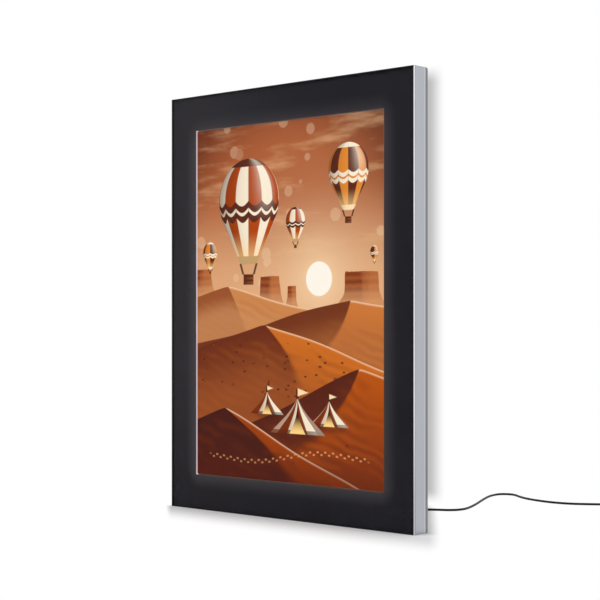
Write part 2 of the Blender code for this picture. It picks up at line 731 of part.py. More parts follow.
def build_hangers(top_rail):
    """Keyhole plates screwed to the flat rear of the top profile."""
    flat_middle = (REAR_RADIUS + RAIL_WIDTH) / 2
    screw_z = FRAME_HEIGHT - flat_middle
    top_z = FRAME_HEIGHT - REAR_RADIUS
    low_z = top_z - HANGER_DROP
    slot_z = low_z + KEYHOLE_LOW_ROOM + KEYHOLE_RADIUS
    rear = FRAME_DEPTH + FIT_GAP + HANGER_THICKNESS
    mesh_loops = [rounded_rectangle(-HANGER_WIDTH / 2, low_z, HANGER_WIDTH / 2, top_z, HANGER_ROUNDING),
                  keyhole(0, slot_z)]
    for sign in (-1, 1):
        hole_centre = (sign * HANGER_SCREW_SPREAD / 2, screw_z)
        mesh_loops.append(arc(hole_centre, HANGER_SCREW_SHANK + FIT_GAP, 0, 15 * math.pi / 8, 15))
    plate = outline_mesh("hanger", mesh_loops, HANGER_THICKNESS)
    grip = HANGER_THICKNESS + 2 * FIT_GAP + RAIL_WALL
    screw = screw_mesh(
        "hanger_screw", HANGER_SCREW_SHANK, HANGER_SCREW_HEAD, HANGER_SCREW_HEAD_HEIGHT,
        grip + FIT_GAP,
    )
    number = 0
    centres = []
    for side, sign in (("left", -1), ("right", 1)):
        x = sign * (FRAME_WIDTH / 2 - HANGER_CORNER_ROOM)
        hanger = add_object("hanger_" + side, plate, MATERIALS["steel"])
        stand = Matrix.Rotation(math.pi / 2, 4, "X")
        middle = depth_to_y(rear - HANGER_THICKNESS / 2)
        hanger.matrix_world = Matrix.Translation((x, middle, 0)) @ stand
        for half in (-1, 1):
            number += 1
            screw_x = x + half * HANGER_SCREW_SPREAD / 2
            centres.append((screw_x, depth_to_y(FRAME_DEPTH), screw_z))
            place_screw(
                f"hanger_screw_{number}", screw, MATERIALS["steel"], screw_x, rear + FIT_GAP, screw_z,
            )
    holes = cylinders_mesh(
        "hanger_screw_holes", HANGER_SCREW_SHANK + FIT_GAP, 2 * (RAIL_WALL + CUT_OVERRUN), centres,
    )
    boolean(top_rail, add_cutter("hanger_screw_holes", holes))


def build_bumpers():
    """Rubber bumpers on the flat rear of the side profiles."""
    profile = [(0, BUMPER_HEIGHT), (BUMPER_RADIUS - BUMPER_EDGE, BUMPER_HEIGHT),
               (BUMPER_RADIUS, BUMPER_HEIGHT - BUMPER_EDGE), (BUMPER_RADIUS, FIT_GAP), (0, FIT_GAP)]
    mesh = turned_mesh("bumper", profile, steps=20)
    inset = (REAR_RADIUS + RAIL_WIDTH) / 2
    number = 0
    for sign in (-1, 1):
        for z in (BUMPER_CORNER_ROOM, FRAME_HEIGHT - BUMPER_CORNER_ROOM):
            number += 1
            x = sign * (FRAME_WIDTH / 2 - inset)
            place_screw(f"bumper_{number}", mesh, MATERIALS["rubber"], x, FRAME_DEPTH, z)


def build_relief(panel):
    """Strain relief on the rear panel: a block with a spigot through the panel and a boot."""
    block_y = depth_to_y(LEAD_DEPTH)
    block_size = (RELIEF_BLOCK_WIDTH, RELIEF_BLOCK_DEPTH, RELIEF_BLOCK_HEIGHT)
    block = box_mesh("relief_block", block_size, (RELIEF_X, block_y, RELIEF_HEIGHT))
    relief = add_object("relief_body", block, collection=CUTTERS)
    bevel(relief, RELIEF_BLOCK_BEVEL, 2)
    spigot_middle = depth_to_y((PANEL_FRONT + LEAD_DEPTH) / 2)
    spigot = cylinders_mesh(
        "relief_spigot", RELIEF_SPIGOT_RADIUS, LEAD_DEPTH - PANEL_FRONT,
        [(RELIEF_X, spigot_middle, RELIEF_HEIGHT)],
    )
    boolean(relief, add_cutter("relief_spigot", spigot), "UNION")
    boot_top = RELIEF_BLOCK_HEIGHT / 2 - CUT_OVERRUN
    profile = [(0, 0), (RELIEF_BOOT_TOP_RADIUS, 0),
               (RELIEF_BOOT_TIP_RADIUS, -RELIEF_BOOT_LENGTH - CUT_OVERRUN),
               (0, -RELIEF_BOOT_LENGTH - CUT_OVERRUN)]
    boot = add_cutter("relief_boot", turned_mesh("relief_boot", profile))
    boot.location = (RELIEF_X, block_y, RELIEF_HEIGHT - boot_top)
    boolean(relief, boot, "UNION")
    mesh = evaluated_mesh(relief)
    mesh.shade_smooth()
    mesh.set_sharp_from_angle(angle=math.radians(30))
    add_object("cord_relief", mesh, MATERIALS["shell"])
    hole_length = PANEL_THICKNESS + 2 * CUT_OVERRUN
    hole_centre = (RELIEF_X, depth_to_y((PANEL_FRONT + PANEL_REAR) / 2), RELIEF_HEIGHT)
    hole = cylinders_mesh("relief_hole", RELIEF_SPIGOT_RADIUS + FIT_GAP, hole_length, [hole_centre])
    boolean(panel, add_cutter("relief_hole", hole))


def cut_notch(bottom_rail):
    """Notch in the rear of the lower profile, where the lead passes."""
    front = PANEL_REAR + FIT_GAP
    rear = FRAME_DEPTH + CUT_OVERRUN
    height = RAIL_WIDTH + 2 * CUT_OVERRUN
    centre = (RELIEF_X, depth_to_y((front + rear) / 2), height / 2 - CUT_OVERRUN)
    notch = box_mesh("lead_notch", (NOTCH_WIDTH, rear - front, height), centre)
    boolean(bottom_rail, add_cutter("lead_notch", notch))


def coil_points():
    """Spiral in on the lower layer, climb in the half turn of the reversal, and out again."""
    turns = 2 * COIL_TURNS_PER_LAYER
    steps = turns * COIL_POINTS_PER_TURN
    points = []
    for step in range(steps + 1):
        turned = step / COIL_POINTS_PER_TURN
        from_middle = turned - COIL_TURNS_PER_LAYER
        share = abs(from_middle) / COIL_TURNS_PER_LAYER
        radius = COIL_INNER_RADIUS + share * (COIL_OUTER_RADIUS - COIL_INNER_RADIUS)
        climb = min(max(2 * from_middle + 0.5, 0.0), 1.0)
        smooth_climb = climb * climb * (3 - 2 * climb)
        angle = math.pi / 2 - 2 * math.pi * turned
        points.append(Vector((
            COIL_CENTRE_X + radius * math.cos(angle),
            COIL_CENTRE_Y + radius * math.sin(angle),
            COIL_FLOOR_HEIGHT + smooth_climb * COIL_LAYER_RISE,
        )))
    straight = Vector((2 * LEAD_RADIUS, 0, 0))
    return [points[0] - straight] + points + [points[-1] + straight]


def least_coil_gap(points):
    """Least air between a point and any stretch of the tube over a quarter turn away."""
    apart = COIL_POINTS_PER_TURN // 4
    least = math.inf
    for i, point in enumerate(points):
        for j in range(i + apart, len(points) - 1):
            a, b = points[j], points[j + 1]
            t = max(0.0, min(1.0, (point - a).dot(b - a) / (b - a).length_squared))
            least = min(least, (point - a - t * (b - a)).length)
    return least - 2 * LEAD_RADIUS


def build_coil():
    """Wound lead and the tie round its turns."""
    points = coil_points()
    tube("cord_coil", points, LEAD_RADIUS, MATERIALS["black"], resolution=1)
    print(f"coil: least gap to itself {least_coil_gap(points) * 1000:.2f} mm")
    room = LEAD_RADIUS + FIT_GAP
    low = (COIL_INNER_RADIUS - room, COIL_FLOOR_HEIGHT - room)
    high = (COIL_OUTER_RADIUS + room, COIL_FLOOR_HEIGHT + COIL_LAYER_RISE + room)
    inner = [low, (high[0], low[1]), high, (low[0], high[1])]
    wall = TIE_THICKNESS
    outer = rounded_rectangle(
        low[0] - wall, low[1] - wall, high[0] + wall, high[1] + wall, TIE_THICKNESS,
    )
    tie = add_object("cord_tie", outline_mesh("cord_tie", [outer, inner], TIE_WIDTH), MATERIALS["shell"])
    stand = Matrix.Rotation(math.pi / 2, 4, "X")
    turn = Matrix.Rotation(TIE_ANGLE, 4, "Z")
    tie.matrix_world = Matrix.Translation((COIL_CENTRE_X, COIL_CENTRE_Y, 0)) @ turn @ stand


def lead_start():
    """Where the lead leaves its strain relief."""
    tip = RELIEF_HEIGHT - RELIEF_BLOCK_HEIGHT / 2 - RELIEF_BOOT_LENGTH
    return Vector((RELIEF_X, depth_to_y(LEAD_DEPTH), tip - FIT_GAP))


def build_lead():
    """Free stretch from the strain relief to the coil, and the tail to the power supply."""
    coil = coil_points()
    start = lead_start()
    end = coil[0] - Vector((FIT_GAP, 0, 0))
    approach = end - Vector((5 * LEAD_RADIUS, 0, 0))
    route = [start] + LEAD_ROUTE + [approach, end]
    tube("cord_lead", smooth_route(route, ROUTE_SAMPLES_PER_SPAN), LEAD_RADIUS, MATERIALS["black"])
    tail_start = coil[-1] + Vector((FIT_GAP, 0, 0))
    relief_tip = adaptor_relief_tip() + Vector((0, FIT_GAP, 0))
    straight = relief_tip + Vector((0, 4 * LEAD_RADIUS, 0))
    tail = [tail_start] + TAIL_ROUTE + [straight, relief_tip]
    tube("cord_tail", smooth_route(tail, ROUTE_SAMPLES_PER_SPAN), LEAD_RADIUS, MATERIALS["black"])


def adaptor_relief_tip():
    rear_end = ADAPTOR_CENTRE_Y + ADAPTOR_LENGTH / 2
    return Vector((ADAPTOR_CENTRE_X, rear_end + FIT_GAP + ADAPTOR_RELIEF_LENGTH, ADAPTOR_LEAD_HEIGHT))


def build_adaptor():
    """Plug-in power supply, lying on its back with the pins up."""
    size = (ADAPTOR_WIDTH, ADAPTOR_LENGTH, ADAPTOR_HEIGHT)
    centre = (ADAPTOR_CENTRE_X, ADAPTOR_CENTRE_Y, ADAPTOR_HEIGHT / 2)
    case = add_object("adaptor_body", box_mesh("adaptor_body", size, centre), collection=CUTTERS)
    bevel(case, ADAPTOR_BEVEL, 3)
    half_width = ADAPTOR_BOSS_WIDTH / 2
    half_length = ADAPTOR_BOSS_LENGTH / 2
    boss_loop = rounded_rectangle(-half_length, -half_width, half_length, half_width, half_width)
    boss_height = 2 * ADAPTOR_BOSS_HEIGHT
    boss = add_cutter("adaptor_boss", outline_mesh("adaptor_boss", [boss_loop], boss_height))
    boss.location = (ADAPTOR_CENTRE_X, ADAPTOR_CENTRE_Y, ADAPTOR_HEIGHT)
    boolean(case, boss, "UNION")
    mesh = evaluated_mesh(case)
    mesh.shade_smooth()
    mesh.set_sharp_from_angle(angle=math.radians(30))
    add_object("adaptor_case", mesh, MATERIALS["shell"])
    pin_profile = [(0, PIN_LENGTH), (PIN_RADIUS - PIN_TIP, PIN_LENGTH), (PIN_RADIUS, PIN_LENGTH - PIN_TIP),
                   (PIN_RADIUS, FIT_GAP), (0, FIT_GAP)]
    pin = turned_mesh("adaptor_pin", pin_profile)
    for number, sign in enumerate((-1, 1), start=1):
        obj = add_object(f"adaptor_pin_{number}", pin, MATERIALS["brass"])
        obj.location = (
            ADAPTOR_CENTRE_X + sign * PIN_SPACING / 2, ADAPTOR_CENTRE_Y,
            ADAPTOR_HEIGHT + ADAPTOR_BOSS_HEIGHT,
        )
    relief_profile = [(0, ADAPTOR_RELIEF_LENGTH), (ADAPTOR_RELIEF_TIP_RADIUS, ADAPTOR_RELIEF_LENGTH),
                      (ADAPTOR_RELIEF_BASE_RADIUS, 0), (0, 0)]
    relief = add_object(
        "adaptor_relief", turned_mesh("adaptor_relief", relief_profile), MATERIALS["shell"],
    )
    tip = adaptor_relief_tip()
    base = Matrix.Translation((tip.x, tip.y - ADAPTOR_RELIEF_LENGTH, tip.z))
    relief.matrix_world = base @ Matrix.Rotation(-math.pi / 2, 4, "X")


def ride_on(pieces, name):
    """Hang the pieces of a moving body on an empty that lies on its slide's axis."""
    empty = bpy.data.objects.new(name, None)
    FRAME.objects.link(empty)
    empty.location = (0, depth_to_y(0), MIDDLE_HEIGHT)
    bpy.context.view_layer.update()
    for piece in pieces:
        place = piece.matrix_world.copy()
        piece.parent = empty
        piece.matrix_parent_inverse = empty.matrix_world.inverted()
        piece.matrix_world = place


def build_frame():
    cover = build_cover()
    poster = build_poster()
    build_tray()
    rails = build_rails()
    build_corner_keys()
    panel = build_panel(rails)
    build_led_bars()
    build_harness()
    build_hangers(rails["top"])
    build_bumpers()
    build_relief(panel)
    cut_notch(rails["bottom"])
    build_lead()
    build_coil()
    build_adaptor()
    ride_on(cover, "cover_slide")
    ride_on([poster], "poster_slide")


clear_scene()
FRAME = new_collection("Illuminated poster frame")
CUTTERS = new_collection("Cutters")
MATERIALS = make_materials()
build_frame()
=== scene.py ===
"""Looks of the illuminated poster frame, in metres. +Z is up and the lit face looks towards -Y."""

import json
import math

import bmesh
import bpy
from mathutils import Matrix, Vector


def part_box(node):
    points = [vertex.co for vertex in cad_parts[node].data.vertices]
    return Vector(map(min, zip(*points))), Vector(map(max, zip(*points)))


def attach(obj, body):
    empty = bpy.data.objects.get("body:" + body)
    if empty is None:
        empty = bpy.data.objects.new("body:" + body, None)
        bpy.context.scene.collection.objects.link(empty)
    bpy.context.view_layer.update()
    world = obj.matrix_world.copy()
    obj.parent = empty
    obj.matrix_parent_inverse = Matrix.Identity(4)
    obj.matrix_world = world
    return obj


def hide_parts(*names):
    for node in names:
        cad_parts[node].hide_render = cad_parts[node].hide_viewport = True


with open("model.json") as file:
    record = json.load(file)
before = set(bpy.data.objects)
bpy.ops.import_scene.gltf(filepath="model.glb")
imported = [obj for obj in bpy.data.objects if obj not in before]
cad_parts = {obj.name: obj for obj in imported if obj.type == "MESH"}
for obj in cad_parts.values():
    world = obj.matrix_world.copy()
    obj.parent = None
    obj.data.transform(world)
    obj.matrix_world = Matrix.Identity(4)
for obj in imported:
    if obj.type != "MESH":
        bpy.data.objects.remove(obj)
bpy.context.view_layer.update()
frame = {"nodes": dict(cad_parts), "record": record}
NODES = frame["nodes"]

# Camera of the photograph
CAMERA_PLACE = (1.64324, -1.79527, 0.32243)
CAMERA_AZIMUTH = math.radians(42.21)
CAMERA_LENS = 89.82
CAMERA_SENSOR = 36.0
CAMERA_SHIFT_UP = 0.0332
CAMERA_SHIFT_RIGHT = -0.0004

# Places and sizes of the frame
COVER_LOW, COVER_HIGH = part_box("cover_panel")
POSTER_LOW, POSTER_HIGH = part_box("poster_sheet")
COVER_HALF_WIDTH = COVER_HIGH.x
MIDDLE_HEIGHT = (COVER_LOW.z + COVER_HIGH.z) / 2
BORDER_WIDTH = 0.059
WINDOW_HALF_WIDTH = COVER_HALF_WIDTH - BORDER_WIDTH
WINDOW_HALF_HEIGHT = MIDDLE_HEIGHT - BORDER_WIDTH
FRAME_HALF_DEPTH = 0.0235
FIT_GAP = 0.0003
REAR_ROUND_START = 0.007

# Looks of the front, from the outline inwards, with painted glow and a painted black rim, and of
# the rear edge, with painted shade and highlight
CUT_EDGE = 0.0003
CUT_EDGE_BLEND = 0.0001
# The black rim is a painted reflection of the print in the sheet's edge
BLACK_RIM = 0.0024
BLACK_RIM_BLEND = 0.0004
ACRYLIC_IOR = 1.49
HALO_REACH = 0.027
HALO_ROUNDING = 0.010
RIM_GLOW_REACH = 0.0022
STRIP_WIDTH_SEEN = 0.006
# Painted shade on the rear round of the profiles, and a painted highlight just in front of it
REAR_ROUND_PAINTED_SHADE = (0.212, 0.216, 0.226, 1.0)
REAR_ROUND_SHADE_BAND = (-0.0022, -0.0006, 0.0085, 0.0115)
REAR_EDGE_LIGHT = (-0.0055, -0.0035)
LED_ROW_PITCH = 0.0932

# The lead and its route, as in the solids: out of the relief, along the surface, coil and tail
LEAD_RADIUS = 0.002
LEAD_START = (0.1700, 0.0173, 0.0357)
LEAD_ROUTE = [
    (0.1700, 0.0173, 0.0285), (0.1700, 0.0173, 0.0211), (0.1700, 0.0188, 0.0138),
    (0.1699, 0.0229, 0.0077), (0.1697, 0.0290, 0.0036), (0.1692, 0.0361, 0.0022),
    (0.1675, 0.0486, 0.0021), (0.1611, 0.0723, 0.0021), (0.1442, 0.1065, 0.0021),
    (0.1220, 0.1385, 0.0021), (0.1040, 0.1655, 0.0021), (0.0940, 0.1905, 0.0021),
    (0.0950, 0.2095, 0.0021), (0.1050, 0.2235, 0.0021), (0.1200, 0.2325, 0.0021),
    (0.1350, 0.2415, 0.0021), (0.1440, 0.2565, 0.0021), (0.1430, 0.2805, 0.0021),
    (0.1250, 0.3285, 0.0021), (0.0930, 0.3975, 0.0021), (0.0710, 0.4495, 0.0021),
    (0.0650, 0.4815, 0.0021), (0.0700, 0.4950, 0.0021), (0.0830, 0.5005, 0.0021),
    (0.0970, 0.4950, 0.0021), (0.1180, 0.4790, 0.0021), (0.1420, 0.4650, 0.0021),
    (0.1720, 0.4545, 0.0021), (0.2070, 0.4490, 0.0021), (0.2400, 0.4545, 0.0021),
    (0.2650, 0.4685, 0.0021), (0.2870, 0.4835, 0.0021), (0.3110, 0.4935, 0.0023),
    (0.3250, 0.4960, 0.0027),
]
TAIL_ROUTE = [
    (0.3700, 0.4965, 0.0068), (0.3850, 0.4965, 0.0046), (0.3990, 0.4959, 0.0036),
    (0.4110, 0.4940, 0.0040), (0.4220, 0.4885, 0.0068), (0.4285, 0.4790, 0.0108),
]
COIL_CENTRE = (0.352, 0.4655)
COIL_OUTER_RADIUS = 0.031
COIL_INNER_RADIUS = 0.017
COIL_TURNS_PER_LAYER = 3
COIL_FLOOR_HEIGHT = 0.0031
COIL_LAYER_RISE = 0.0048
COIL_POINTS_PER_TURN = 40
TIE_ANGLE = math.radians(-60)
TIE_WIDTH = 0.010
TIE_THICKNESS = 0.0008
RELIEF_CENTRE = (0.170, 0.0173, 0.062)
RELIEF_BOOT_LENGTH = 0.0212
RELIEF_BOOT_DROP = 0.0048
ADAPTOR_CENTRE = (0.430, 0.4025)
ADAPTOR_LEAD_TIP = (0.430, 0.4601, 0.014)
ADAPTOR_HALF_WIDTH = 0.020
ADAPTOR_HALF_LENGTH = 0.035
ADAPTOR_HEIGHT = 0.028
ADAPTOR_FILLET = 0.004
ADAPTOR_BOSS_HEIGHT = 0.003
ADAPTOR_GRIP_RIBS = 7
ADAPTOR_GRIP_PITCH = 0.0034
ADAPTOR_GRIP_HEIGHT = 0.0215
ADAPTOR_BOOT_LENGTH = 0.022
PIN_HALF_SPACING = 0.0095
PIN_RADIUS = 0.002
PIN_LENGTH = 0.019
SLEEVE_LENGTH = 0.0095
ROUTE_SAMPLES_PER_SPAN = 4

# Screws: shank and head radius, head height, length and recess; and the wall bumpers
PANEL_SCREW = (0.0015, 0.0034, 0.0020, 0.0046, 0.0019)
HANGER_SCREW = (0.00125, 0.0026, 0.0011, 0.0044, 0.0015)
BUMPER_HEIGHT = 0.0035
BUMPER_RADIUS = 0.004
BUMPER_RIM = 0.0009

# Stage: a floor that whitens away from the frame, a screen behind it with a painted shadow, and the
# light
FLOOR_REACH = 60.0
SHADOW_REACH = 0.135
SHADOW_SLANT_LEFT = 1.08
SHADOW_SLANT_RIGHT = 0.77
SHADOW_BEHIND = 0.17
SHADOW_NARROWER_LEFT = 8.0
SHADOW_NARROWER_RIGHT = 4.4
SCREEN_GAP = 0.001
SCREEN_MARGIN = 0.045
SCREEN_FOOT = 0.040
SCREEN_RISE = 0.012
SCREEN_SHADE = 0.49
SCREEN_SHADE_OUTER = 0.0246
SCREEN_SHADE_INNER = 0.010
SCREEN_FADE = 0.03
SCREEN_FOOT_FADE = 0.025
SCREEN_TOP_FADE = (0.003, 0.035)
BACKGROUND_RAYS = ("Is Camera Ray", "Is Glossy Ray", "Is Transmission Ray")
FILL_LIGHT = 0.55
KEY_LAMP = ((-1.4, -2.4, 2.6), 1.8, 70)
SIDE_LAMP = ((2.8, 0.4, 1.8), 1.6, 30)


# Camera

def add_object(name, data):
    obj = bpy.data.objects.new(name, data)
    bpy.context.scene.collection.objects.link(obj)
    return obj


def add_camera():
    data = bpy.data.cameras.new("camera")
    data.lens = CAMERA_LENS
    data.sensor_width = CAMERA_SENSOR
    data.shift_x = CAMERA_SHIFT_RIGHT
    data.shift_y = CAMERA_SHIFT_UP
    camera = add_object("camera", data)
    camera.location = CAMERA_PLACE
    camera.rotation_euler = (math.pi / 2, 0, CAMERA_AZIMUTH)
    bpy.context.scene.camera = camera


# Curves and meshes

def smooth_route(points, samples):
    """Points on a smooth curve that passes through the route's own points."""
    route = [Vector(point) for point in points]
    route = [2 * route[0] - route[1]] + route + [2 * route[-1] - route[-2]]
    smooth = []
    for a, b, c, d in zip(route, route[1:], route[2:], route[3:]):
        for sample in range(samples):
            t = sample / samples
            smooth.append(0.5 * (2 * b + (c - a) * t + (2 * a - 5 * b + 4 * c - d) * t ** 2
                                 + (3 * b - a - 3 * c + d) * t ** 3))
    smooth.append(route[-2])
    return smooth


def coil_points():
    """Spiral in on the lower layer, climb in the half turn of the reversal, and out again."""
    turns = 2 * COIL_TURNS_PER_LAYER
    points = []
    for step in range(turns * COIL_POINTS_PER_TURN + 1):
        turned = step / COIL_POINTS_PER_TURN
        from_middle = turned - COIL_TURNS_PER_LAYER
        share = abs(from_middle) / COIL_TURNS_PER_LAYER
        radius = COIL_INNER_RADIUS + share * (COIL_OUTER_RADIUS - COIL_INNER_RADIUS)
        climb = min(max(2 * from_middle + 0.5, 0.0), 1.0)
        smooth_climb = climb * climb * (3 - 2 * climb)
        angle = math.pi / 2 - 2 * math.pi * turned
        points.append(Vector((
            COIL_CENTRE[0] + radius * math.cos(angle),
            COIL_CENTRE[1] + radius * math.sin(angle),
            COIL_FLOOR_HEIGHT + smooth_climb * COIL_LAYER_RISE,
        )))
    return points


def cord_points():
    """The whole lead, from its relief through the coil to the power supply."""
    coil = coil_points()
    straight = Vector((2 * LEAD_RADIUS, 0, 0))
    gap = Vector((FIT_GAP, 0, 0))
    coil_start = coil[0] - straight - gap
    approach = coil_start - Vector((5 * LEAD_RADIUS, 0, 0))
    lead = smooth_route([LEAD_START] + LEAD_ROUTE + [approach, coil_start], ROUTE_SAMPLES_PER_SPAN)
    tail_start = coil[-1] + straight + gap
    tip = Vector(ADAPTOR_LEAD_TIP)
    tail_end = tip + Vector((0, 4 * LEAD_RADIUS, 0))
    tail = smooth_route([tail_start] + TAIL_ROUTE + [tail_end, tip], ROUTE_SAMPLES_PER_SPAN)
    return lead + coil + tail


def route_length(points):
    return sum((b - a).length for a, b in zip(points, points[1:]))


def cord_curve(name, points, radius):
    """A round cord with closed ends."""
    curve = bpy.data.curves.new(name, "CURVE")
    curve.dimensions = "3D"
    curve.bevel_depth = radius
    curve.bevel_resolution = 4
    curve.use_fill_caps = True
    spline = curve.splines.new("POLY")
    spline.points.add(len(points) - 1)
    for point, place in zip(spline.points, points):
        point.co = (*place, 1)
    spline.use_smooth = True
    return curve


def mesh_from(name, vertices, faces, smooth_angle):
    """A mesh with its faces turned outward, smooth but for its sharp edges."""
    mesh = bpy.data.meshes.new(name)
    mesh.from_pydata(vertices, [], faces)
    shape = bmesh.new()
    shape.from_mesh(mesh)
    bmesh.ops.remove_doubles(shape, verts=shape.verts, dist=0.000001)
    bmesh.ops.recalc_face_normals(shape, faces=shape.faces)
    shape.to_mesh(mesh)
    shape.free()
    mesh.shade_smooth()
    mesh.set_sharp_from_angle(angle=math.radians(smooth_angle))
    return mesh


def lofted_mesh(name, rings, smooth_angle=40, closed=False):
    """Rings of points joined by faces; the ends are capped, or joined to each other if closed."""
    count = len(rings[0])
    vertices = [point for ring in rings for point in ring]
    faces = []
    pairs = len(rings) if closed else len(rings) - 1
    for ring in range(pairs):
        first = ring * count
        second = (ring + 1) % len(rings) * count
        for i in range(count):
            j = (i + 1) % count
            faces.append((first + i, first + j, second + j, second + i))
    if not closed:
        faces.append(tuple(range(count)))
        faces.append(tuple(range(len(vertices) - count, len(vertices))))
    return mesh_from(name, vertices, faces, smooth_angle)


def turned_mesh(name, profile, steps, smooth_angle=40):
    """A solid turned about Z from (radius, height) pairs, with a point or a flat at each end."""
    rings = []
    for radius, height in profile:
        angles = [2 * math.pi * step / steps for step in range(steps)]
        rings.append([(radius * math.cos(a), radius * math.sin(a), height) for a in angles])
    return lofted_mesh(name, rings, smooth_angle)


def placed(point, quarters=0, axis="X"):
    """A move to a point, after a turn of so many quarters about an axis."""
    return Matrix.Translation(point) @ Matrix.Rotation(quarters * math.pi / 2, 4, axis)


def arc(centre, radius, start, end, steps):
    """Points on an arc in a plane, both ends included."""
    angles = [start + (end - start) * step / steps for step in range(steps + 1)]
    return [(centre[0] + radius * math.cos(a), centre[1] + radius * math.sin(a)) for a in angles]


def rounded_outline(half_x, half_y, radius, steps):
    """A rectangle about the middle with round corners."""
    quarter = math.pi / 2
    x, y = half_x - radius, half_y - radius
    points = []
    for number, centre in enumerate(((x, y), (-x, y), (-x, -y), (x, -y))):
        points += arc(centre, radius, number * quarter, (number + 1) * quarter, steps)
    return points


def moulded_mesh(name, half_x, half_y, radius, profile, steps):
    """A moulded block: a rounded outline drawn in or let out along (inset, height) pairs."""
    rings = []
    for inset, height in profile:
        ring_radius = max(radius - inset, 0.0002)
        outline = rounded_outline(half_x - inset, half_y - inset, ring_radius, steps)
        rings.append([(x, y, height) for x, y in outline])
    return lofted_mesh(name, rings)


def joined_mesh(name, parts):
    """Several meshes in one, each moved by its own matrix."""
    shape = bmesh.new()
    for mesh, place in parts:
        first = len(shape.verts)
        shape.from_mesh(mesh)
        shape.verts.ensure_lookup_table()
        bmesh.ops.transform(shape, matrix=place, verts=shape.verts[first:])
    joined = bpy.data.meshes.new(name)
    shape.to_mesh(joined)
    shape.free()
    return joined


def cut_mesh(mesh, cutter_mesh):
    """The first mesh less the second."""
    body = add_object("cut_body", mesh)
    cutter = add_object("cut_tool", cutter_mesh)
    modifier = body.modifiers.new("cut", "BOOLEAN")
    modifier.solver = "EXACT"
    modifier.object = cutter
    bpy.context.view_layer.update()
    graph = bpy.context.evaluated_depsgraph_get()
    result = bpy.data.meshes.new_from_object(body.evaluated_get(graph))
    bpy.data.objects.remove(body)
    bpy.data.objects.remove(cutter)
    return result


# Materials

def srgb(red, green, blue):
    """A colour given in the 0 to 255 steps of a screen, as linear values."""
    linear = []
    for step in (red, green, blue):
        share = step / 255
        linear.append(share / 12.92 if share <= 0.04045 else ((share + 0.055) / 1.055) ** 2.4)
    return (*linear, 1.0)


class Field:
    """A number that varies over a surface: a socket in a material's node tree, with arithmetic."""

    def __init__(self, tree, socket):
        self.tree = tree
        self.socket = socket

    def __add__(self, other):
        return self.apply("ADD", other)

    def __sub__(self, other):
        return self.apply("SUBTRACT", other)

    def __rsub__(self, other):
        return math_field(self.tree, "SUBTRACT", other, self)

    def __mul__(self, other):
        return self.apply("MULTIPLY", other)

    def __truediv__(self, other):
        return self.apply("DIVIDE", other)

    def __abs__(self):
        return self.apply("ABSOLUTE")

    __radd__ = __add__
    __rmul__ = __mul__

    def apply(self, operation, *others):
        return math_field(self.tree, operation, self, *others)

    def above_zero(self):
        return self.apply("MAXIMUM", 0.0)

    def clamped(self):
        field = self + 0.0
        field.socket.node.use_clamp = True
        return field

    def smooth(self, low, high):
        """0 below low, 1 above high and a soft step between."""
        node = add_node(self.tree, "MapRange", {"Value": self, "From Min": low, "From Max": high},
                        interpolation_type="SMOOTHSTEP")
        return Field(self.tree, node.outputs["Result"])

    def band(self, low, full_from, full_to, high):
        """1 from full_from to full_to, with a soft step down to 0 on either side."""
        return self.smooth(low, full_from) * self.smooth(high, full_to)


def connect(tree, value, socket):
    """Feed a socket with a field, a socket or a plain value."""
    if isinstance(value, Field):
        tree.links.new(value.socket, socket)
    elif isinstance(value, bpy.types.NodeSocket):
        tree.links.new(value, socket)
    else:
        socket.default_value = value


def add_node(tree, kind, inputs, **settings):
    """A new shader node with its settings made and its inputs fed, by name or number."""
    node = tree.nodes.new("ShaderNode" + kind)
    for setting, value in settings.items():
        setattr(node, setting, value)
    for name, value in inputs.items():
        connect(tree, value, node.inputs[name])
    return node


def math_field(tree, operation, *values):
    node = add_node(tree, "Math", dict(enumerate(values)), operation=operation)
    return Field(tree, node.outputs["Value"])


def distance(across, along):
    return (across * across + along * along).apply("SQRT")


class Finish:
    """A Principled material and the nodes that vary it."""

    def __init__(self, name, colour, roughness, metallic=0.0):
        self.name = name
        self.material = bpy.data.materials.new(name)
        self.material.use_nodes = True
        self.tree = self.material.node_tree
        self.shader = self.tree.nodes["Principled BSDF"]
        self.set("Base Color", colour)
        self.set("Roughness", roughness)
        self.set("Metallic", metallic)
        self.place = self.tree.nodes.new("ShaderNodeTexCoord").outputs["Object"]

    def set(self, socket, value):
        connect(self.tree, value, self.shader.inputs[socket])

    def tint(self, first, second, factor):
        self.set("Base Color", self.mixed(first, second, factor))

    def show(self, shader):
        """Show a mix of shaders in place of the one that the material starts with."""
        self.tree.links.new(shader, self.tree.nodes["Material Output"].inputs["Surface"])

    def axes(self):
        """The three object coordinates."""
        node = add_node(self.tree, "SeparateXYZ", {0: self.place})
        return [Field(self.tree, socket) for socket in node.outputs]

    def stretched(self, scales):
        node = add_node(self.tree, "VectorMath", {0: self.place, 1: scales}, operation="MULTIPLY")
        return node.outputs["Vector"]

    def noise(self, scale, detail, stretch=(1, 1, 1), roughness=0.5):
        """Soft noise about 0.5; scale is in features a metre along an axis stretched by 1."""
        node = add_node(self.tree, "TexNoise", {"Vector": self.stretched(stretch), "Scale": scale,
                                                "Detail": detail, "Roughness": roughness})
        return Field(self.tree, node.outputs["Fac"])

    def cells(self, scale, stretch=(1, 1, 1), output="Distance"):
        inputs = {"Vector": self.stretched(stretch), "Scale": scale}
        node = add_node(self.tree, "TexVoronoi", inputs)
        return Field(self.tree, node.outputs[output])

    def mixed(self, first, second, factor):
        """One colour turning into another as the factor goes from 0 to 1."""
        node = add_node(self.tree, "Mix", {"Factor": factor}, data_type="RGBA")
        colour_sockets = [socket for socket in node.inputs if socket.type == "RGBA"]
        connect(self.tree, first, colour_sockets[0])
        connect(self.tree, second, colour_sockets[1])
        return next(socket for socket in node.outputs if socket.type == "RGBA")

    def bump(self, height, depth):
        """Relief of the given depth in metres, from a height of 0 to 1."""
        node = add_node(self.tree, "Bump", {"Distance": depth, "Height": height})
        self.set("Normal", node.outputs["Normal"])


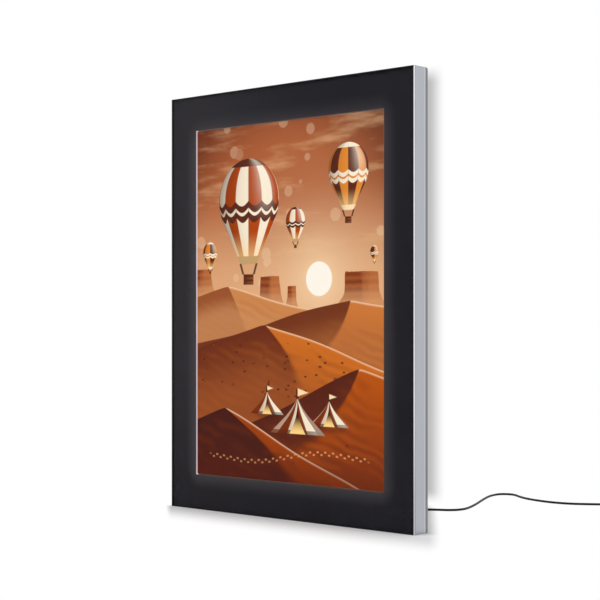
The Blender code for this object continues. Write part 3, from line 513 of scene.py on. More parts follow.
def scaled(colour, share, lift=0.0):
    """A colour with its light scaled, and lifted by the same amount in each channel."""
    return tuple(min(1.0, channel * share + lift) for channel in colour[:3]) + (1.0,)


def moulded_plastic(name, colour, roughness, grain, depth, specular=0.5):
    """Plastic with the fine spark-eroded grain of a mould and faint shade variation."""
    finish = Finish(name, colour, roughness)
    cloud = finish.noise(25, 3)
    finish.tint(colour, scaled(colour, 1.12, 0.004), cloud)
    finish.set("Roughness", roughness - 0.06 + 0.12 * finish.noise(300, 2))
    finish.set("Specular IOR Level", specular)
    finish.bump(finish.noise(grain, 2), depth)
    return finish


def satin_aluminium(along, colour):
    """Anodised aluminium with drawn lines along one axis, with painted shade on the rear round and
    a painted highlight just in front of it.
    """
    lines = tuple(4 if axis == along else 1600 for axis in "xyz")
    broad = tuple(1 if axis == along else 120 for axis in "xyz")
    finish = Finish("satin_aluminium_" + along, colour, 0.34, 1.0)
    fine = finish.noise(1, 3, lines)
    wide = finish.noise(1, 2, broad)
    streaks = (0.7 * wide + 0.3 * fine).smooth(0.3, 0.7)
    drawn_and_highlight = finish.mixed(scaled(colour, 0.93), colour, streaks)
    _, y, _ = finish.axes()
    past_start = y - REAR_ROUND_START
    # Painted shade: a band of the rear round is tinted dark grey; a painted highlight lightens the
    # flat just in front of it
    painted_rear_shade = past_start.band(*REAR_ROUND_SHADE_BAND)
    painted_edge_highlight = past_start.smooth(*REAR_EDGE_LIGHT) * (1.0 - painted_rear_shade)
    drawn_and_highlight = finish.mixed(drawn_and_highlight, srgb(200, 201, 206), painted_edge_highlight * 0.5)
    finish.tint(drawn_and_highlight, REAR_ROUND_PAINTED_SHADE, painted_rear_shade)
    finish.set("Roughness", 0.29 + 0.07 * fine + 0.05 * wide + 0.08 * painted_rear_shade)
    finish.bump(fine, 0.00001)
    return finish


def plated_steel(name, colour, roughness, spangle=180):
    """Zinc or nickel plate with a faint crystalline spangle."""
    finish = Finish(name, colour, roughness, 1.0)
    grains = finish.cells(spangle, output="Color")
    cloud = finish.noise(60, 3)
    finish.tint(scaled(colour, 0.82), colour, 0.6 * cloud + 0.4 * grains)
    finish.set("Roughness", roughness - 0.05 + 0.1 * grains + 0.06 * cloud)
    finish.bump(finish.noise(900, 2), 0.00001)
    return finish


def inset_from_outline(finish):
    """Depth of a point inside the frame's outline, seen from the front."""
    x, _, z = finish.axes()
    from_side = COVER_HALF_WIDTH - abs(x)
    from_end = MIDDLE_HEIGHT - abs(z - MIDDLE_HEIGHT)
    return from_side.apply("MINIMUM", from_end)


def add_shader(tree, kind, inputs):
    return add_node(tree, kind, inputs).outputs[0]


def mixed_shader(tree, factor, first, second):
    """One shader giving way to another as the factor goes from 0 to 1."""
    return add_shader(tree, "MixShader", {"Fac": factor, 1: first, 2: second})


def clear_cover():
    """Clear sheet that bends what is seen through it, with pale cut edges in painted shade and
    glow, and a black rim that paints the print mirrored in its edge.
    """
    finish = Finish("clear_acrylic", srgb(240, 241, 246), 0.3)
    tree = finish.tree
    haze = finish.noise(40, 2)
    _, _, z = finish.axes()
    pale = finish.mixed(srgb(226, 227, 232), srgb(238, 239, 244), haze)
    # Painted shade and glow: the cut edges are painted darker towards the bottom and glow faintly
    finish.tint(srgb(184, 185, 190), pale, z.smooth(0.0, 0.22))
    finish.set("Emission Color", srgb(228, 230, 240))
    finish.set("Emission Strength", 0.05)
    finish.bump(finish.noise(700, 2), 0.00001)
    through = add_shader(tree, "BsdfTransparent", {"Color": (0.97, 0.975, 0.98, 1.0)})
    bent = add_shader(tree, "BsdfRefraction", {"Color": (1.0, 1.0, 1.0, 1.0), "Roughness": 0.0,
                                               "IOR": ACRYLIC_IOR})
    unbent = seen_rays(tree, ["Is Shadow Ray", "Is Diffuse Ray", "Is Glossy Ray"])
    clear = mixed_shader(tree, unbent, bent, through)
    # Painted reflection: the black rim stands in for the black print seen through and mirrored in
    # the sheet's edge
    ink = add_shader(tree, "BsdfPrincipled", {"Base Color": srgb(20, 19, 23), "Roughness": 0.4,
                                              "Specular IOR Level": 0.1})
    inset = inset_from_outline(finish)
    rimmed = mixed_shader(tree, inset.smooth(BLACK_RIM, BLACK_RIM - BLACK_RIM_BLEND), clear, ink)
    cut = inset.smooth(CUT_EDGE, CUT_EDGE - CUT_EDGE_BLEND)
    finish.show(mixed_shader(tree, cut, rimmed, finish.shader.outputs["BSDF"]))
    return finish


def window_distance(finish, rounding):
    """Distance from a rounded window's edge, zero inside it, over the face of the frame."""
    x, _, z = finish.axes()
    over_x = (abs(x) - (WINDOW_HALF_WIDTH - rounding)).above_zero()
    over_z = (abs(z - MIDDLE_HEIGHT) - (WINDOW_HALF_HEIGHT - rounding)).above_zero()
    return (distance(over_x, over_z) - rounding).above_zero()


def black_print():
    """Black ink with a painted glow: the lit window's warm light painted a little way into it, and
    a faint painted glow towards the left and top.
    """
    finish = Finish("black_print", srgb(30, 30, 34), 0.28)
    away = window_distance(finish, HALO_ROUNDING)
    x, _, z = finish.axes()
    grain = finish.noise(1300, 3, roughness=0.7)
    cloud = finish.noise(9, 2)
    ink = finish.mixed(srgb(28, 27, 31), srgb(39, 37, 42), 0.6 * grain + 0.4 * cloud)
    # Painted glow: a halo round the window, a bright rim at its edge and a faint glow towards the
    # left and top, weaker over the top band
    halo = away.smooth(HALO_REACH, 0.0)
    rim = (away * (-1 / RIM_GLOW_REACH)).apply("EXPONENT")
    painted_glow_left_top = x.smooth(0.10, -0.25) * z.smooth(-0.15, 0.30)
    warm = finish.mixed(srgb(255, 246, 248), srgb(255, 190, 150), rim * 0.8)
    cut_edge = inset_from_outline(finish).smooth(CUT_EDGE + CUT_EDGE_BLEND,
                                                 CUT_EDGE - CUT_EDGE_BLEND)
    finish.tint(ink, srgb(196, 197, 202), cut_edge)
    finish.set("Specular IOR Level", 0.05)
    finish.set("Emission Color", warm)
    lower = 1.0 - 0.42 * z.smooth(0.60, 0.655)
    glow = 0.024 * halo * lower + 0.022 * rim + 0.012 * painted_glow_left_top
    finish.set("Emission Strength", glow * (0.55 + 0.9 * grain))
    return finish


# The poster's picture, balloons over a desert: u runs across from -1 to 1, v up from -1.41 to 1.41

class Picture:
    """A colour that varies over a surface, on which others are laid through masks."""

    def __init__(self, finish, colour):
        self.finish = finish
        self.colour = colour

    def lay(self, colour, mask):
        self.colour = self.finish.mixed(self.colour, colour, mask)


def dune(finish, u, v, peak, slopes, ridge, lit, shade, haze, ripple):
    """One dune's colour and mask, with a sharp ridge between its lit and its shaded side."""
    peak_u, peak_v = peak
    left, right = slopes
    lean, sway, turns = ridge
    beside = u - peak_u
    rounded = (beside * beside + 0.0009).apply("SQRT")
    wave = (u * 5.1 + peak_v * 40).apply("SINE") * 0.012
    crest = peak_v - (rounded - beside) * (left / 2) - (rounded + beside) * (right / 2) + wave
    depth = crest - v
    below = peak_v - v
    ridge_u = below * lean + (below * turns).apply("SINE") * sway + peak_u
    under = below.above_zero()
    on_right = ((u - ridge_u) / (0.006 + 0.30 * under * under)).smooth(-1.0, 1.0)
    down = (depth * 1.6).clamped()
    lit_side = finish.mixed(lit[0], lit[1], down)
    sand = Picture(finish, finish.mixed(shade[0], shade[1], down))
    sand.lay(lit_side, on_right)
    phase = (v + u * 0.35) * ripple + finish.noise(14, 2) * 14
    stripe = phase.apply("SINE") * 0.5 + 0.5
    patches = finish.noise(9, 2, (1, 1, 2.5)).smooth(0.40, 0.58) * depth.smooth(0.0, 0.15)
    sand.lay(lit[0], stripe * patches * (0.14 + 0.34 * on_right))
    sand.lay(shade[1], (1.0 - stripe) * patches * 0.30)
    sand.lay(haze[0], depth.smooth(0.05, haze[2]) * haze[1])
    sand.lay(srgb(255, 226, 190), depth.smooth(0.024, 0.0) * on_right * 0.7)
    return sand.colour, depth.smooth(0.0, 0.005)


def add_shrubs(picture, v, scale, top, bottom):
    """Small dark tufts with lit tops, strewn between two heights."""
    spread = picture.finish.cells(scale, (1, 1, 1.7))
    chosen = picture.finish.cells(scale, (1, 1, 1.7), output="Color").smooth(0.56, 0.60)
    edge = spread + picture.finish.noise(scale * 9, 2) * 0.22
    chosen = chosen * v.band(bottom, bottom + 0.03, top, top + 0.03)
    picture.lay(srgb(58, 26, 16), edge.smooth(0.36, 0.30) * chosen * 0.9)
    picture.lay(srgb(196, 116, 62), edge.smooth(0.24, 0.16) * chosen * 0.7)


def add_balloon(picture, u, v, place, radius, colours, gores):
    """A hot-air balloon of coloured gores, with a patterned band, ropes and a basket."""
    first, second, band_colour = colours
    soft = 0.010 / radius
    p = (u - place[0]) / radius
    q = (v - place[1]) / radius
    across = abs(p)
    round_half = (1.0 - q * q).above_zero().apply("SQRT")
    cone_half = q * 0.577 + 1.1545
    half = (round_half + (cone_half - round_half) * q.smooth(-0.49, -0.51)).apply("MAXIMUM", 0.01)
    turn = (p / half).apply("MAXIMUM", -1.0).apply("MINIMUM", 1.0).apply("ARCSINE")
    inside = (half - across).smooth(0.0, soft) * q.smooth(-1.50 - soft, -1.50)
    wave = (turn * gores).apply("SINE")
    cloth = Picture(picture.finish, first)
    cloth.lay(second, wave.smooth(-0.12, 0.12))
    zigzag = q + abs(wave) * 0.12
    cloth.lay(band_colour, zigzag.band(-0.42, -0.40, -0.02, 0.0))
    cloth.lay(first, zigzag.band(-0.26, -0.24, -0.18, -0.16))
    cloth.lay(band_colour, q.smooth(0.80, 0.82))
    cloth.lay(band_colour, q.smooth(-1.32, -1.34))
    cloth.lay(srgb(70, 30, 18), abs(wave).smooth(0.16, 0.0) * 0.45)
    light = (turn - 0.75).apply("COSINE") * 0.5 + 0.5
    cloth.lay(srgb(62, 26, 18), (1.0 - light).smooth(0.05, 1.0) * 0.85)
    shine = ((turn - 0.62) * (turn - 0.62) * -9.0).apply("EXPONENT") * q.smooth(-0.6, 0.5)
    cloth.lay(srgb(255, 244, 224), shine * 0.45)
    cloth.lay(srgb(255, 214, 150), q.smooth(-0.7, -1.4) * 0.5)
    picture.lay(cloth.colour, inside)
    drop = -1.50 - q
    spread = abs(across - (0.27 - drop * 0.36))
    rope = spread.smooth(0.035 + soft * 0.4, 0.02) * drop.band(0.0, 0.01, 0.26, 0.27)
    picture.lay(srgb(66, 30, 18), rope * 0.9)
    basket = (0.18 - across).smooth(0.0, soft) * drop.band(0.25, 0.27, 0.50, 0.52)
    weave = (q * 60).apply("SINE") * 0.5 + 0.5
    wicker = Picture(picture.finish, srgb(84, 40, 22))
    wicker.lay(srgb(142, 82, 44), weave * p.smooth(-0.2, 0.2))
    picture.lay(wicker.colour, basket)


def add_mesa(picture, u, v, centre, half_width, foot, top):
    """A layered flat-topped rock far off, with a lit and a shaded side."""
    rough = picture.finish.noise(60, 3, (1, 1, 0.25)) - 0.5
    rise = (v - foot) / (top - foot)
    skirt = (0.45 - rise).above_zero()
    half = half_width * (0.80 - 0.10 * rise + 1.1 * skirt * skirt) + 0.06 * rough
    inside = (half - abs(u - centre)).smooth(0.0, 0.006)
    inside = inside * (1.0 + 0.10 * rough - rise).smooth(0.0, 0.02)
    rock = Picture(picture.finish, srgb(126, 60, 36))
    rock.lay(srgb(158, 84, 50), (rise * 26.0 + rough * 2.0).apply("SINE") * 0.5 + 0.5)
    lit = ((u - centre) / half_width + rough).smooth(-0.2, 0.5)
    rock.lay(srgb(222, 144, 92), lit * 0.45)
    rock.lay(srgb(226, 168, 122), rise.smooth(0.7, 0.0) * 0.6)
    picture.lay(rock.colour, inside)


def add_tent(picture, u, v, place, size, stripes):
    """A striped tent with an open door and a pole at its top."""
    soft = 0.007 / size
    p = (u - place[0]) / size
    q = (v - place[1]) / size
    width = (1.0 - q).apply("MAXIMUM", 0.02) * (0.86 + 0.18 * (q * 3.1).apply("COSINE"))
    across = p / width
    inside = abs(across).smooth(1.0, 1.0 - soft) * q.band(-soft, 0.0, 1.0 - soft, 1.0)
    cloth = Picture(picture.finish, srgb(246, 228, 200))
    cloth.lay(srgb(120, 50, 26), (across * stripes).apply("SINE").smooth(-0.15, 0.15))
    cloth.lay(srgb(70, 30, 18), q.smooth(0.10, 0.08) * 0.8)
    cloth.lay(srgb(122, 52, 24), across.smooth(0.25, -1.0) * 0.65)
    cloth.lay(srgb(255, 246, 226), across.smooth(0.2, 0.9) * 0.25)
    doorway = Picture(picture.finish, srgb(255, 214, 140))
    doorway.lay(srgb(60, 24, 14), q.smooth(0.0, 0.5))
    cloth.lay(doorway.colour, (0.30 - abs(across) - q * 0.34).smooth(0.0, soft))
    fallen = (p * 0.55 + q + 0.62).smooth(0.0, 0.3) * q.band(-0.35, -0.15, -0.02, 0.02)
    picture.lay(srgb(70, 28, 18), fallen * p.band(-1.7, -0.9, 0.6, 1.0) * 0.45)
    pole = abs(p).smooth(0.03 + soft, 0.03) * q.band(0.95, 1.0, 1.26, 1.28)
    picture.lay(srgb(66, 28, 16), pole)
    flag = (0.13 - abs(q - 1.17) - p * 0.28).smooth(0.0, soft) * p.smooth(0.0, soft)
    picture.lay(srgb(250, 222, 176), flag)
    picture.lay(cloth.colour, inside)


def add_trail(picture, u, v, start, slope, sway):
    """A line of small footprints that winds over the sand."""
    middle = start + slope * u + (u * 5.0).apply("SINE") * sway
    step = (u * 26.0).apply("FRACT")
    side = ((u * 26.0).apply("FLOOR") * math.pi).apply("COSINE") * 0.010
    mark = abs(v - middle - side).smooth(0.009, 0.004) * abs(step - 0.5).smooth(0.36, 0.20)
    picture.lay(srgb(236, 172, 116), mark * abs(u).smooth(0.86, 0.78) * 0.85)


def desert_sky(finish, u, v):
    """Sunset sky with thin cloud, a low sun and soft points of light."""
    corner = (u * u * 0.5 + v * v * 0.35).smooth(0.35, 1.15)
    high_sky = finish.mixed(srgb(172, 96, 60), srgb(104, 48, 30), corner)
    sky = Picture(finish, srgb(220, 166, 124))
    sky.lay(high_sky, v.smooth(0.05, 0.95))
    cloud = finish.noise(5, 4, (1, 1, 5.5), 0.6).smooth(0.48, 0.70) * v.smooth(0.20, 0.6)
    sky.lay(srgb(240, 194, 148), cloud * 0.42)
    sun_distance = distance(u - 0.34, v - 0.17)
    sky.lay(srgb(255, 222, 180), (sun_distance * -3.2).apply("EXPONENT").clamped() * 0.85)
    sky.lay(srgb(255, 246, 232), sun_distance.smooth(0.135, 0.127))
    motes = finish.cells(26).smooth(0.30, 0.26)
    chosen = finish.cells(26, output="Color").smooth(0.62, 0.64)
    sky.lay(srgb(255, 226, 190), motes * chosen * 0.20)
    return sky


def print_backlit(picture, shader):
    """Print a picture on the film, lit from behind and a little from the front."""
    finish = picture.finish
    picture.lay(srgb(60, 24, 16), (0.5 - finish.noise(1800, 2)).clamped() * 0.16)
    inputs = {"Saturation": 1.05, "Color": picture.colour}
    richer = add_node(finish.tree, "HueSaturation", inputs).outputs["Color"]
    base = finish.mixed(srgb(0, 0, 0), richer, 0.22)
    for name, value in (("Base Color", base), ("Roughness", 0.42), ("Specular IOR Level", 0.1),
                        ("Emission Color", richer), ("Emission Strength", 0.82)):
        connect(finish.tree, value, shader.inputs[name])


def poster_film():
    """Backlit film with balloons over a desert sunset in rust, caramel and cream."""
    finish = Finish("poster_film", srgb(200, 130, 90), 0.42)
    x, _, z = finish.axes()
    half = (POSTER_HIGH.x - POSTER_LOW.x) / 2
    u = x / half
    v = (z - MIDDLE_HEIGHT) / half
    far = desert_sky(finish, u, v)
    cream, brown = srgb(250, 234, 208), srgb(92, 40, 24)
    rust, amber = srgb(176, 76, 38), srgb(226, 142, 70)
    for shape in ((0.76, 0.23, -0.02, 0.22), (-0.17, 0.15, -0.02, 0.20),
                  (0.06, 0.06, -0.02, 0.12), (-0.95, 0.20, 0.05, 0.27)):
        add_mesa(far, u, v, *shape)
    for shape in (
        ((0.88, 0.36), 0.045, (brown, amber, cream), 3),
        ((-0.83, 0.40), 0.085, (amber, brown, cream), 4),
        ((0.10, 0.62), 0.105, (cream, rust, brown), 5),
        ((0.63, 0.98), 0.20, (amber, brown, cream), 6),
        ((-0.40, 0.80), 0.33, (cream, rust, brown), 7),
    ):
        add_balloon(far, u, v, *shape)
    for shape in (
        ((-0.62, 0.12), (0.20, 0.20), (0.5, 0.02, 6), (srgb(206, 138, 88), srgb(190, 120, 76)),
         (srgb(150, 84, 52), srgb(158, 92, 58)), (srgb(206, 146, 100), 0.6, 0.22), 90),
        ((0.66, 0.02), (0.22, 0.16), (-0.7, 0.05, 7), (srgb(206, 126, 72), srgb(176, 96, 54)),
         (srgb(112, 54, 32), srgb(130, 68, 40)), (srgb(182, 114, 70), 0.5, 0.34), 80),
    ):
        far.lay(*dune(finish, u, v, *shape))
    near = Picture(finish, srgb(166, 84, 42))
    is_near = None
    for shape in (
        ((-0.24, -0.16), (0.30, 0.28), (0.75, 0.07, 6), (srgb(206, 116, 58), srgb(166, 84, 42)),
         (srgb(104, 46, 28), srgb(122, 58, 34)), (srgb(172, 98, 58), 0.45, 0.50), 70),
        ((0.74, -0.50), (0.40, 0.22), (-0.9, 0.08, 5), (srgb(186, 92, 44), srgb(142, 62, 32)),
         (srgb(84, 34, 22), srgb(98, 42, 26)), (srgb(132, 62, 36), 0.35, 0.60), 62),
        ((-0.66, -0.84), (0.30, 0.40), (1.25, 0.10, 4.5), (srgb(160, 72, 36), srgb(98, 38, 24)),
         (srgb(66, 25, 18), srgb(72, 28, 20)), (srgb(88, 34, 22), 0.4, 0.60), 52),
    ):
        sand, inside = dune(finish, u, v, *shape)
        near.lay(sand, inside)
        if is_near is None:
            add_shrubs(near, v, 70, -0.30, -0.75)
            is_near = inside
        else:
            is_near = is_near.apply("MAXIMUM", inside)
    for shape in (((-0.20, -0.87), 0.17, 6.0), ((0.44, -0.94), 0.19, 7.0),
                  ((0.12, -1.01), 0.27, 8.5)):
        add_tent(near, u, v, *shape)
    add_trail(near, u, v, -1.20, 0.06, 0.030)
    add_shrubs(near, v, 38, -1.02, -1.40)
    near.lay(srgb(78, 28, 18), v.smooth(-1.02, -1.42) * 0.55)
    ground = add_node(finish.tree, "BsdfPrincipled", {})
    print_backlit(far, finish.shader)
    print_backlit(near, ground)
    finish.show(mixed_shader(finish.tree, is_near, finish.shader.outputs["BSDF"],
                             ground.outputs["BSDF"]))
    return finish


def glowing_opal():
    """Opal sheet lit from behind, a little brighter in front of each row of lenses."""
    finish = Finish("opal_acrylic", srgb(246, 244, 238), 0.3)
    x, _, z = finish.axes()
    rows = (x / LED_ROW_PITCH * (2 * math.pi)).apply("COSINE") * 0.5 + 0.5
    finish.set("Emission Color", srgb(255, 250, 240))
    finish.set("Emission Strength", 0.62 + 0.10 * rows + 0.02 * (z * 180).apply("COSINE"))
    return finish


def circuit_board():
    """White solder mask with pale copper lands and glossy lenses."""
    finish = Finish("circuit_board", srgb(238, 238, 232), 0.35)
    lands = finish.cells(140, (1, 1, 0.5)).smooth(0.18, 0.14)
    finish.tint(srgb(240, 240, 235), srgb(198, 190, 160), lands * 0.6)
    finish.set("Roughness", 0.42 - 0.2 * lands)
    finish.set("Coat Weight", 0.4)
    return finish


def sheath(name, colour, roughness, specular):
    """Soft cable jacket: satin, with faint drawn-on waviness."""
    finish = Finish(name, colour, roughness)
    finish.set("Specular IOR Level", specular)
    wave = finish.noise(120, 2)
    finish.set("Roughness", roughness - 0.05 + 0.14 * wave)
    finish.bump(0.7 * wave + 0.3 * finish.noise(1500, 2), 0.00008)
    return finish


def pale_strip():
    """Pale strip round the window, with painted light: bright and glowing on the left, where the
    backlight reaches it, and painted dim elsewhere, dimmer low down.
    """
    finish = moulded_plastic("pale_strip", srgb(222, 214, 222), 0.42, 1600, 0.00003)
    x, _, z = finish.axes()
    edge = WINDOW_HALF_WIDTH - STRIP_WIDTH_SEEN
    # Painted light: the left side is painted lit and glowing, the rest painted dim, darker towards
    # the bottom
    lit = x.smooth(-edge, -edge - STRIP_WIDTH_SEEN / 2)
    painted_dim = finish.mixed(srgb(72, 62, 60), srgb(118, 110, 114), z.smooth(0.2, 0.5))
    finish.tint(painted_dim, srgb(222, 214, 222), lit)
    finish.set("Emission Color", srgb(255, 232, 244))
    finish.set("Emission Strength", 0.24 * lit)
    return finish


def strap_cloth():
    """Hook-and-loop strap: a dense short pile."""
    finish = Finish("strap_cloth", srgb(26, 26, 28), 0.85)
    pile = finish.cells(1700)
    finish.tint(srgb(18, 18, 20), srgb(52, 52, 55), pile)
    finish.set("Sheen Weight", 0.3)
    finish.bump(pile, 0.0002)
    return finish


def rear_coating():
    """White coil-coated sheet with a faint orange peel."""
    finish = Finish("rear_panel", srgb(226, 226, 224), 0.42)
    peel = finish.noise(420, 3)
    scuffs = finish.noise(6, 4, (1, 1, 3)).smooth(0.55, 0.8)
    finish.tint(srgb(229, 229, 227), srgb(214, 214, 211), scuffs)
    finish.set("Roughness", 0.36 + 0.12 * peel + 0.08 * scuffs)
    finish.bump(peel, 0.00006)
    return finish


def make_finishes():
    """Every finish by its name: its slot's, but for the profiles' two and the strap."""
    silver = srgb(178, 180, 187)
    finishes = [
        clear_cover(), black_print(), pale_strip(), poster_film(), glowing_opal(),
        moulded_plastic("white_plastic", srgb(238, 238, 236), 0.5, 1800, 0.00004),
        plated_steel("zinc_steel", srgb(196, 197, 194), 0.33),
        plated_steel("nickel_magnet", srgb(206, 203, 196), 0.45, 400),
        satin_aluminium("z", silver),
        satin_aluminium("x", silver),
        plated_steel("cast_key", srgb(168, 168, 168), 0.5, 90),
        rear_coating(),
        circuit_board(),
        sheath("wire_sheath", srgb(176, 34, 30), 0.42, 0.5),
        sheath("black_sheath", srgb(14, 14, 15), 0.5, 0.2),
        moulded_plastic("black_shell", srgb(30, 30, 32), 0.44, 2600, 0.00006),
        plated_steel("plated_pin", srgb(222, 218, 208), 0.2, 300),
        moulded_plastic("grey_rubber", srgb(52, 52, 54), 0.8, 1400, 0.00008, 0.3),
        strap_cloth(),
    ]
    return {finish.name: finish for finish in finishes}


def paint(piece, finish):
    """Give a piece one finish all over."""
    piece.data.materials.clear()
    piece.data.materials.append(FINISHES[finish].material)


def add_piece(name, data, finish, place=None, stands_for=()):
    """Put a finished piece on the frame, in place of the nodes that it stands for."""
    piece = add_object(name, data)
    if place is not None:
        piece.matrix_world = place
    paint(piece, finish)
    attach(piece, "root")
    if stands_for:
        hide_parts(*stands_for)
    return piece


def paint_nodes():
    """Finish the solids that keep their own shape."""
    for entry in frame["record"]["subparts"]:
        slot = entry["material_slot"]
        if slot != "satin_aluminium":
            paint(NODES[entry["node"]], slot)
    for side, axis in (("left", "z"), ("right", "z"), ("top", "x"), ("bottom", "x")):
        paint(NODES["rail_" + side], "satin_aluminium_" + axis)


# Lead, tie and power supply

def ribbed_profile(length, base_radius, tip_radius, ribs, groove):
    """A tapered boot with round grooves: (radius, height) from its base up to its tip."""
    profile = [(0, 0), (base_radius, 0)]
    steps = 8
    for rib in range(ribs):
        for step in range(steps):
            share = (rib + step / steps) / ribs
            radius = base_radius + (tip_radius - base_radius) * share
            dip = groove * max(0.0, math.sin(2 * math.pi * (step / steps - 0.25))) if rib else 0
            profile.append((radius - dip, 0.08 * length + 0.86 * length * share))
    profile += [(tip_radius, 0.97 * length), (tip_radius - 0.0003, length), (0, length)]
    return profile


def add_adaptor():
    """Moulded case with a parting line, sleeved pins and a ribbed boot."""
    height = ADAPTOR_HEIGHT
    fillet = ADAPTOR_FILLET
    seam = height * 0.52
    profile = [(fillet - x, z) for x, z in arc((0, fillet), fillet, -math.pi / 2, 0, 6)]
    profile += [(0, seam - 0.0003), (0.0004, seam), (0, seam + 0.0003)]
    profile += [(fillet - x, z) for x, z in arc((0, height - fillet), fillet, 0, math.pi / 2, 6)]
    case = moulded_mesh("adaptor_shell", ADAPTOR_HALF_WIDTH, ADAPTOR_HALF_LENGTH, 0.005, profile, 8)
    boss_profile = [(0, -0.001), (0, 0.0022), (0.0003, 0.0027), (0.0008, ADAPTOR_BOSS_HEIGHT)]
    boss = moulded_mesh("adaptor_boss", 0.018, 0.00675, 0.0066, boss_profile, 8)
    parts = [(case, placed((0, 0, 0))), (boss, placed((0, 0, height)))]
    grip_profile = [(0, -0.0002), (0, 0.0002), (0.0002, 0.0003)]
    grip = moulded_mesh("adaptor_grip", 0.0006, 0.0055, 0.0005, grip_profile, 3)
    for side in (-1, 1):
        for number in range(ADAPTOR_GRIP_RIBS):
            along = (number - (ADAPTOR_GRIP_RIBS - 1) / 2) * ADAPTOR_GRIP_PITCH
            across = side * (ADAPTOR_HALF_WIDTH - 0.0002)
            place = placed((across, along, ADAPTOR_GRIP_HEIGHT), side, "Y")
            parts.append((grip, place @ Matrix.Scale(0.45, 4) @ placed((0, 0, 0), 1, "Z")))
    mesh = joined_mesh("adaptor_shell", parts)
    place = placed((*ADAPTOR_CENTRE, 0))
    pieces = [add_piece("adaptor_shell", mesh, "black_shell", place, ["adaptor_case"])]
    sleeve_profile = [(0, 0.0003), (0.00185, 0.0003), (0.00185, SLEEVE_LENGTH), (0, SLEEVE_LENGTH)]
    tip_profile = [(0, SLEEVE_LENGTH), (PIN_RADIUS - 0.0001, SLEEVE_LENGTH),
                   (PIN_RADIUS, SLEEVE_LENGTH + 0.0003)]
    tip_profile += arc((0, 0.0175), PIN_RADIUS, 0, math.pi / 2, 6)
    tip_profile = [(radius, min(z, PIN_LENGTH)) for radius, z in tip_profile]
    for number, side in enumerate((-1, 1), start=1):
        middle = ADAPTOR_CENTRE[0] + side * PIN_HALF_SPACING
        base = placed((middle, ADAPTOR_CENTRE[1], height + ADAPTOR_BOSS_HEIGHT))
        tip = add_piece(f"pin_tip_{number}", turned_mesh("pin_tip", tip_profile, 24), "plated_pin",
                        place=base, stands_for=[f"adaptor_pin_{number}"])
        sleeve = add_piece(f"pin_sleeve_{number}", turned_mesh("pin_sleeve", sleeve_profile, 24),
                           "black_shell", place=base)
        pieces += [tip, sleeve]
    boot = ribbed_profile(ADAPTOR_BOOT_LENGTH, 0.0045, 0.0027, 5, 0.0006)
    boot_mesh = turned_mesh("adaptor_boot", boot, 28)
    tip_y = ADAPTOR_LEAD_TIP[1] - FIT_GAP
    place = placed((ADAPTOR_CENTRE[0], tip_y - ADAPTOR_BOOT_LENGTH, height / 2), -1)
    pieces.append(add_piece("adaptor_boot", boot_mesh, "black_shell", place=place,
                            stands_for=["adaptor_relief"]))
    return pieces


def add_tie():
    """Closed strap round the coil's turns, with bevelled edges."""
    inner = LEAD_RADIUS + FIT_GAP
    low_r = COIL_INNER_RADIUS - inner
    high_r = COIL_OUTER_RADIUS + inner
    low_z = COIL_FLOOR_HEIGHT - inner
    high_z = COIL_FLOOR_HEIGHT + COIL_LAYER_RISE + inner
    edge = TIE_THICKNESS / 2
    half_width = TIE_WIDTH / 2
    loop = rounded_outline((high_r - low_r) / 2 + edge, (high_z - low_z) / 2 + edge, 0.0012, 5)
    section = [(-edge, -half_width + edge), (0, -half_width), (edge, -half_width + edge),
               (edge, half_width - edge), (0, half_width), (-edge, half_width - edge)]
    rings = []
    for i, (r, z) in enumerate(loop):
        before, after = loop[i - 1], loop[(i + 1) % len(loop)]
        along = Vector((after[0] - before[0], after[1] - before[1])).normalized()
        outward = Vector((along.y, -along.x))
        rings.append([(r + outward.x * out, across, z + outward.y * out)
                      for out, across in section])
    band = lofted_mesh("tie_band", rings, closed=True)
    middle = placed(((low_r + high_r) / 2, 0, (low_z + high_z) / 2))
    turn = Matrix.Rotation(TIE_ANGLE, 4, "Z")
    place = placed((*COIL_CENTRE, 0)) @ turn @ middle
    return add_piece("tie_band", band, "strap_cloth", place, ["cord_tie"])


def add_relief():
    """Moulded block and ribbed boot where the lead leaves the rear panel."""
    block_profile = [(0.0009, -0.0035), (0.0003, -0.0032), (0, -0.0026), (0, 0.0026),
                     (0.0003, 0.0032), (0.0009, 0.0035)]
    block = moulded_mesh("relief_block", 0.007, 0.006, 0.0016, block_profile, 5)
    boot_profile = ribbed_profile(RELIEF_BOOT_LENGTH, 0.0034, 0.0026, 5, 0.0005)
    boot = turned_mesh("relief_boot", boot_profile, 28)
    spigot = turned_mesh("relief_spigot", [(0, 0), (0.0027, 0), (0.0027, 0.0058), (0, 0.0058)], 24)
    centre = Vector(RELIEF_CENTRE)
    parts = [
        (block, placed(centre, 1)),
        (boot, placed(centre - Vector((0, 0, RELIEF_BOOT_DROP)), 2)),
        (spigot, placed(centre, 1)),
    ]
    mesh = joined_mesh("lead_relief", parts)
    return add_piece("lead_relief", mesh, "black_shell", stands_for=["cord_relief"])


def add_lead():
    """The one low-voltage lead, its tie and the power supply at its end."""
    points = cord_points()
    core = Vector((ADAPTOR_CENTRE[0], ADAPTOR_CENTRE[1], ADAPTOR_LEAD_TIP[2]))
    lead = add_piece("power_lead", cord_curve("power_lead", points + [core], LEAD_RADIUS),
                     "black_sheath", stands_for=["cord_lead", "cord_coil", "cord_tail"])
    with_pieces = add_adaptor() + [add_tie(), add_relief()]
    route_length(points)


# Screws and bumpers

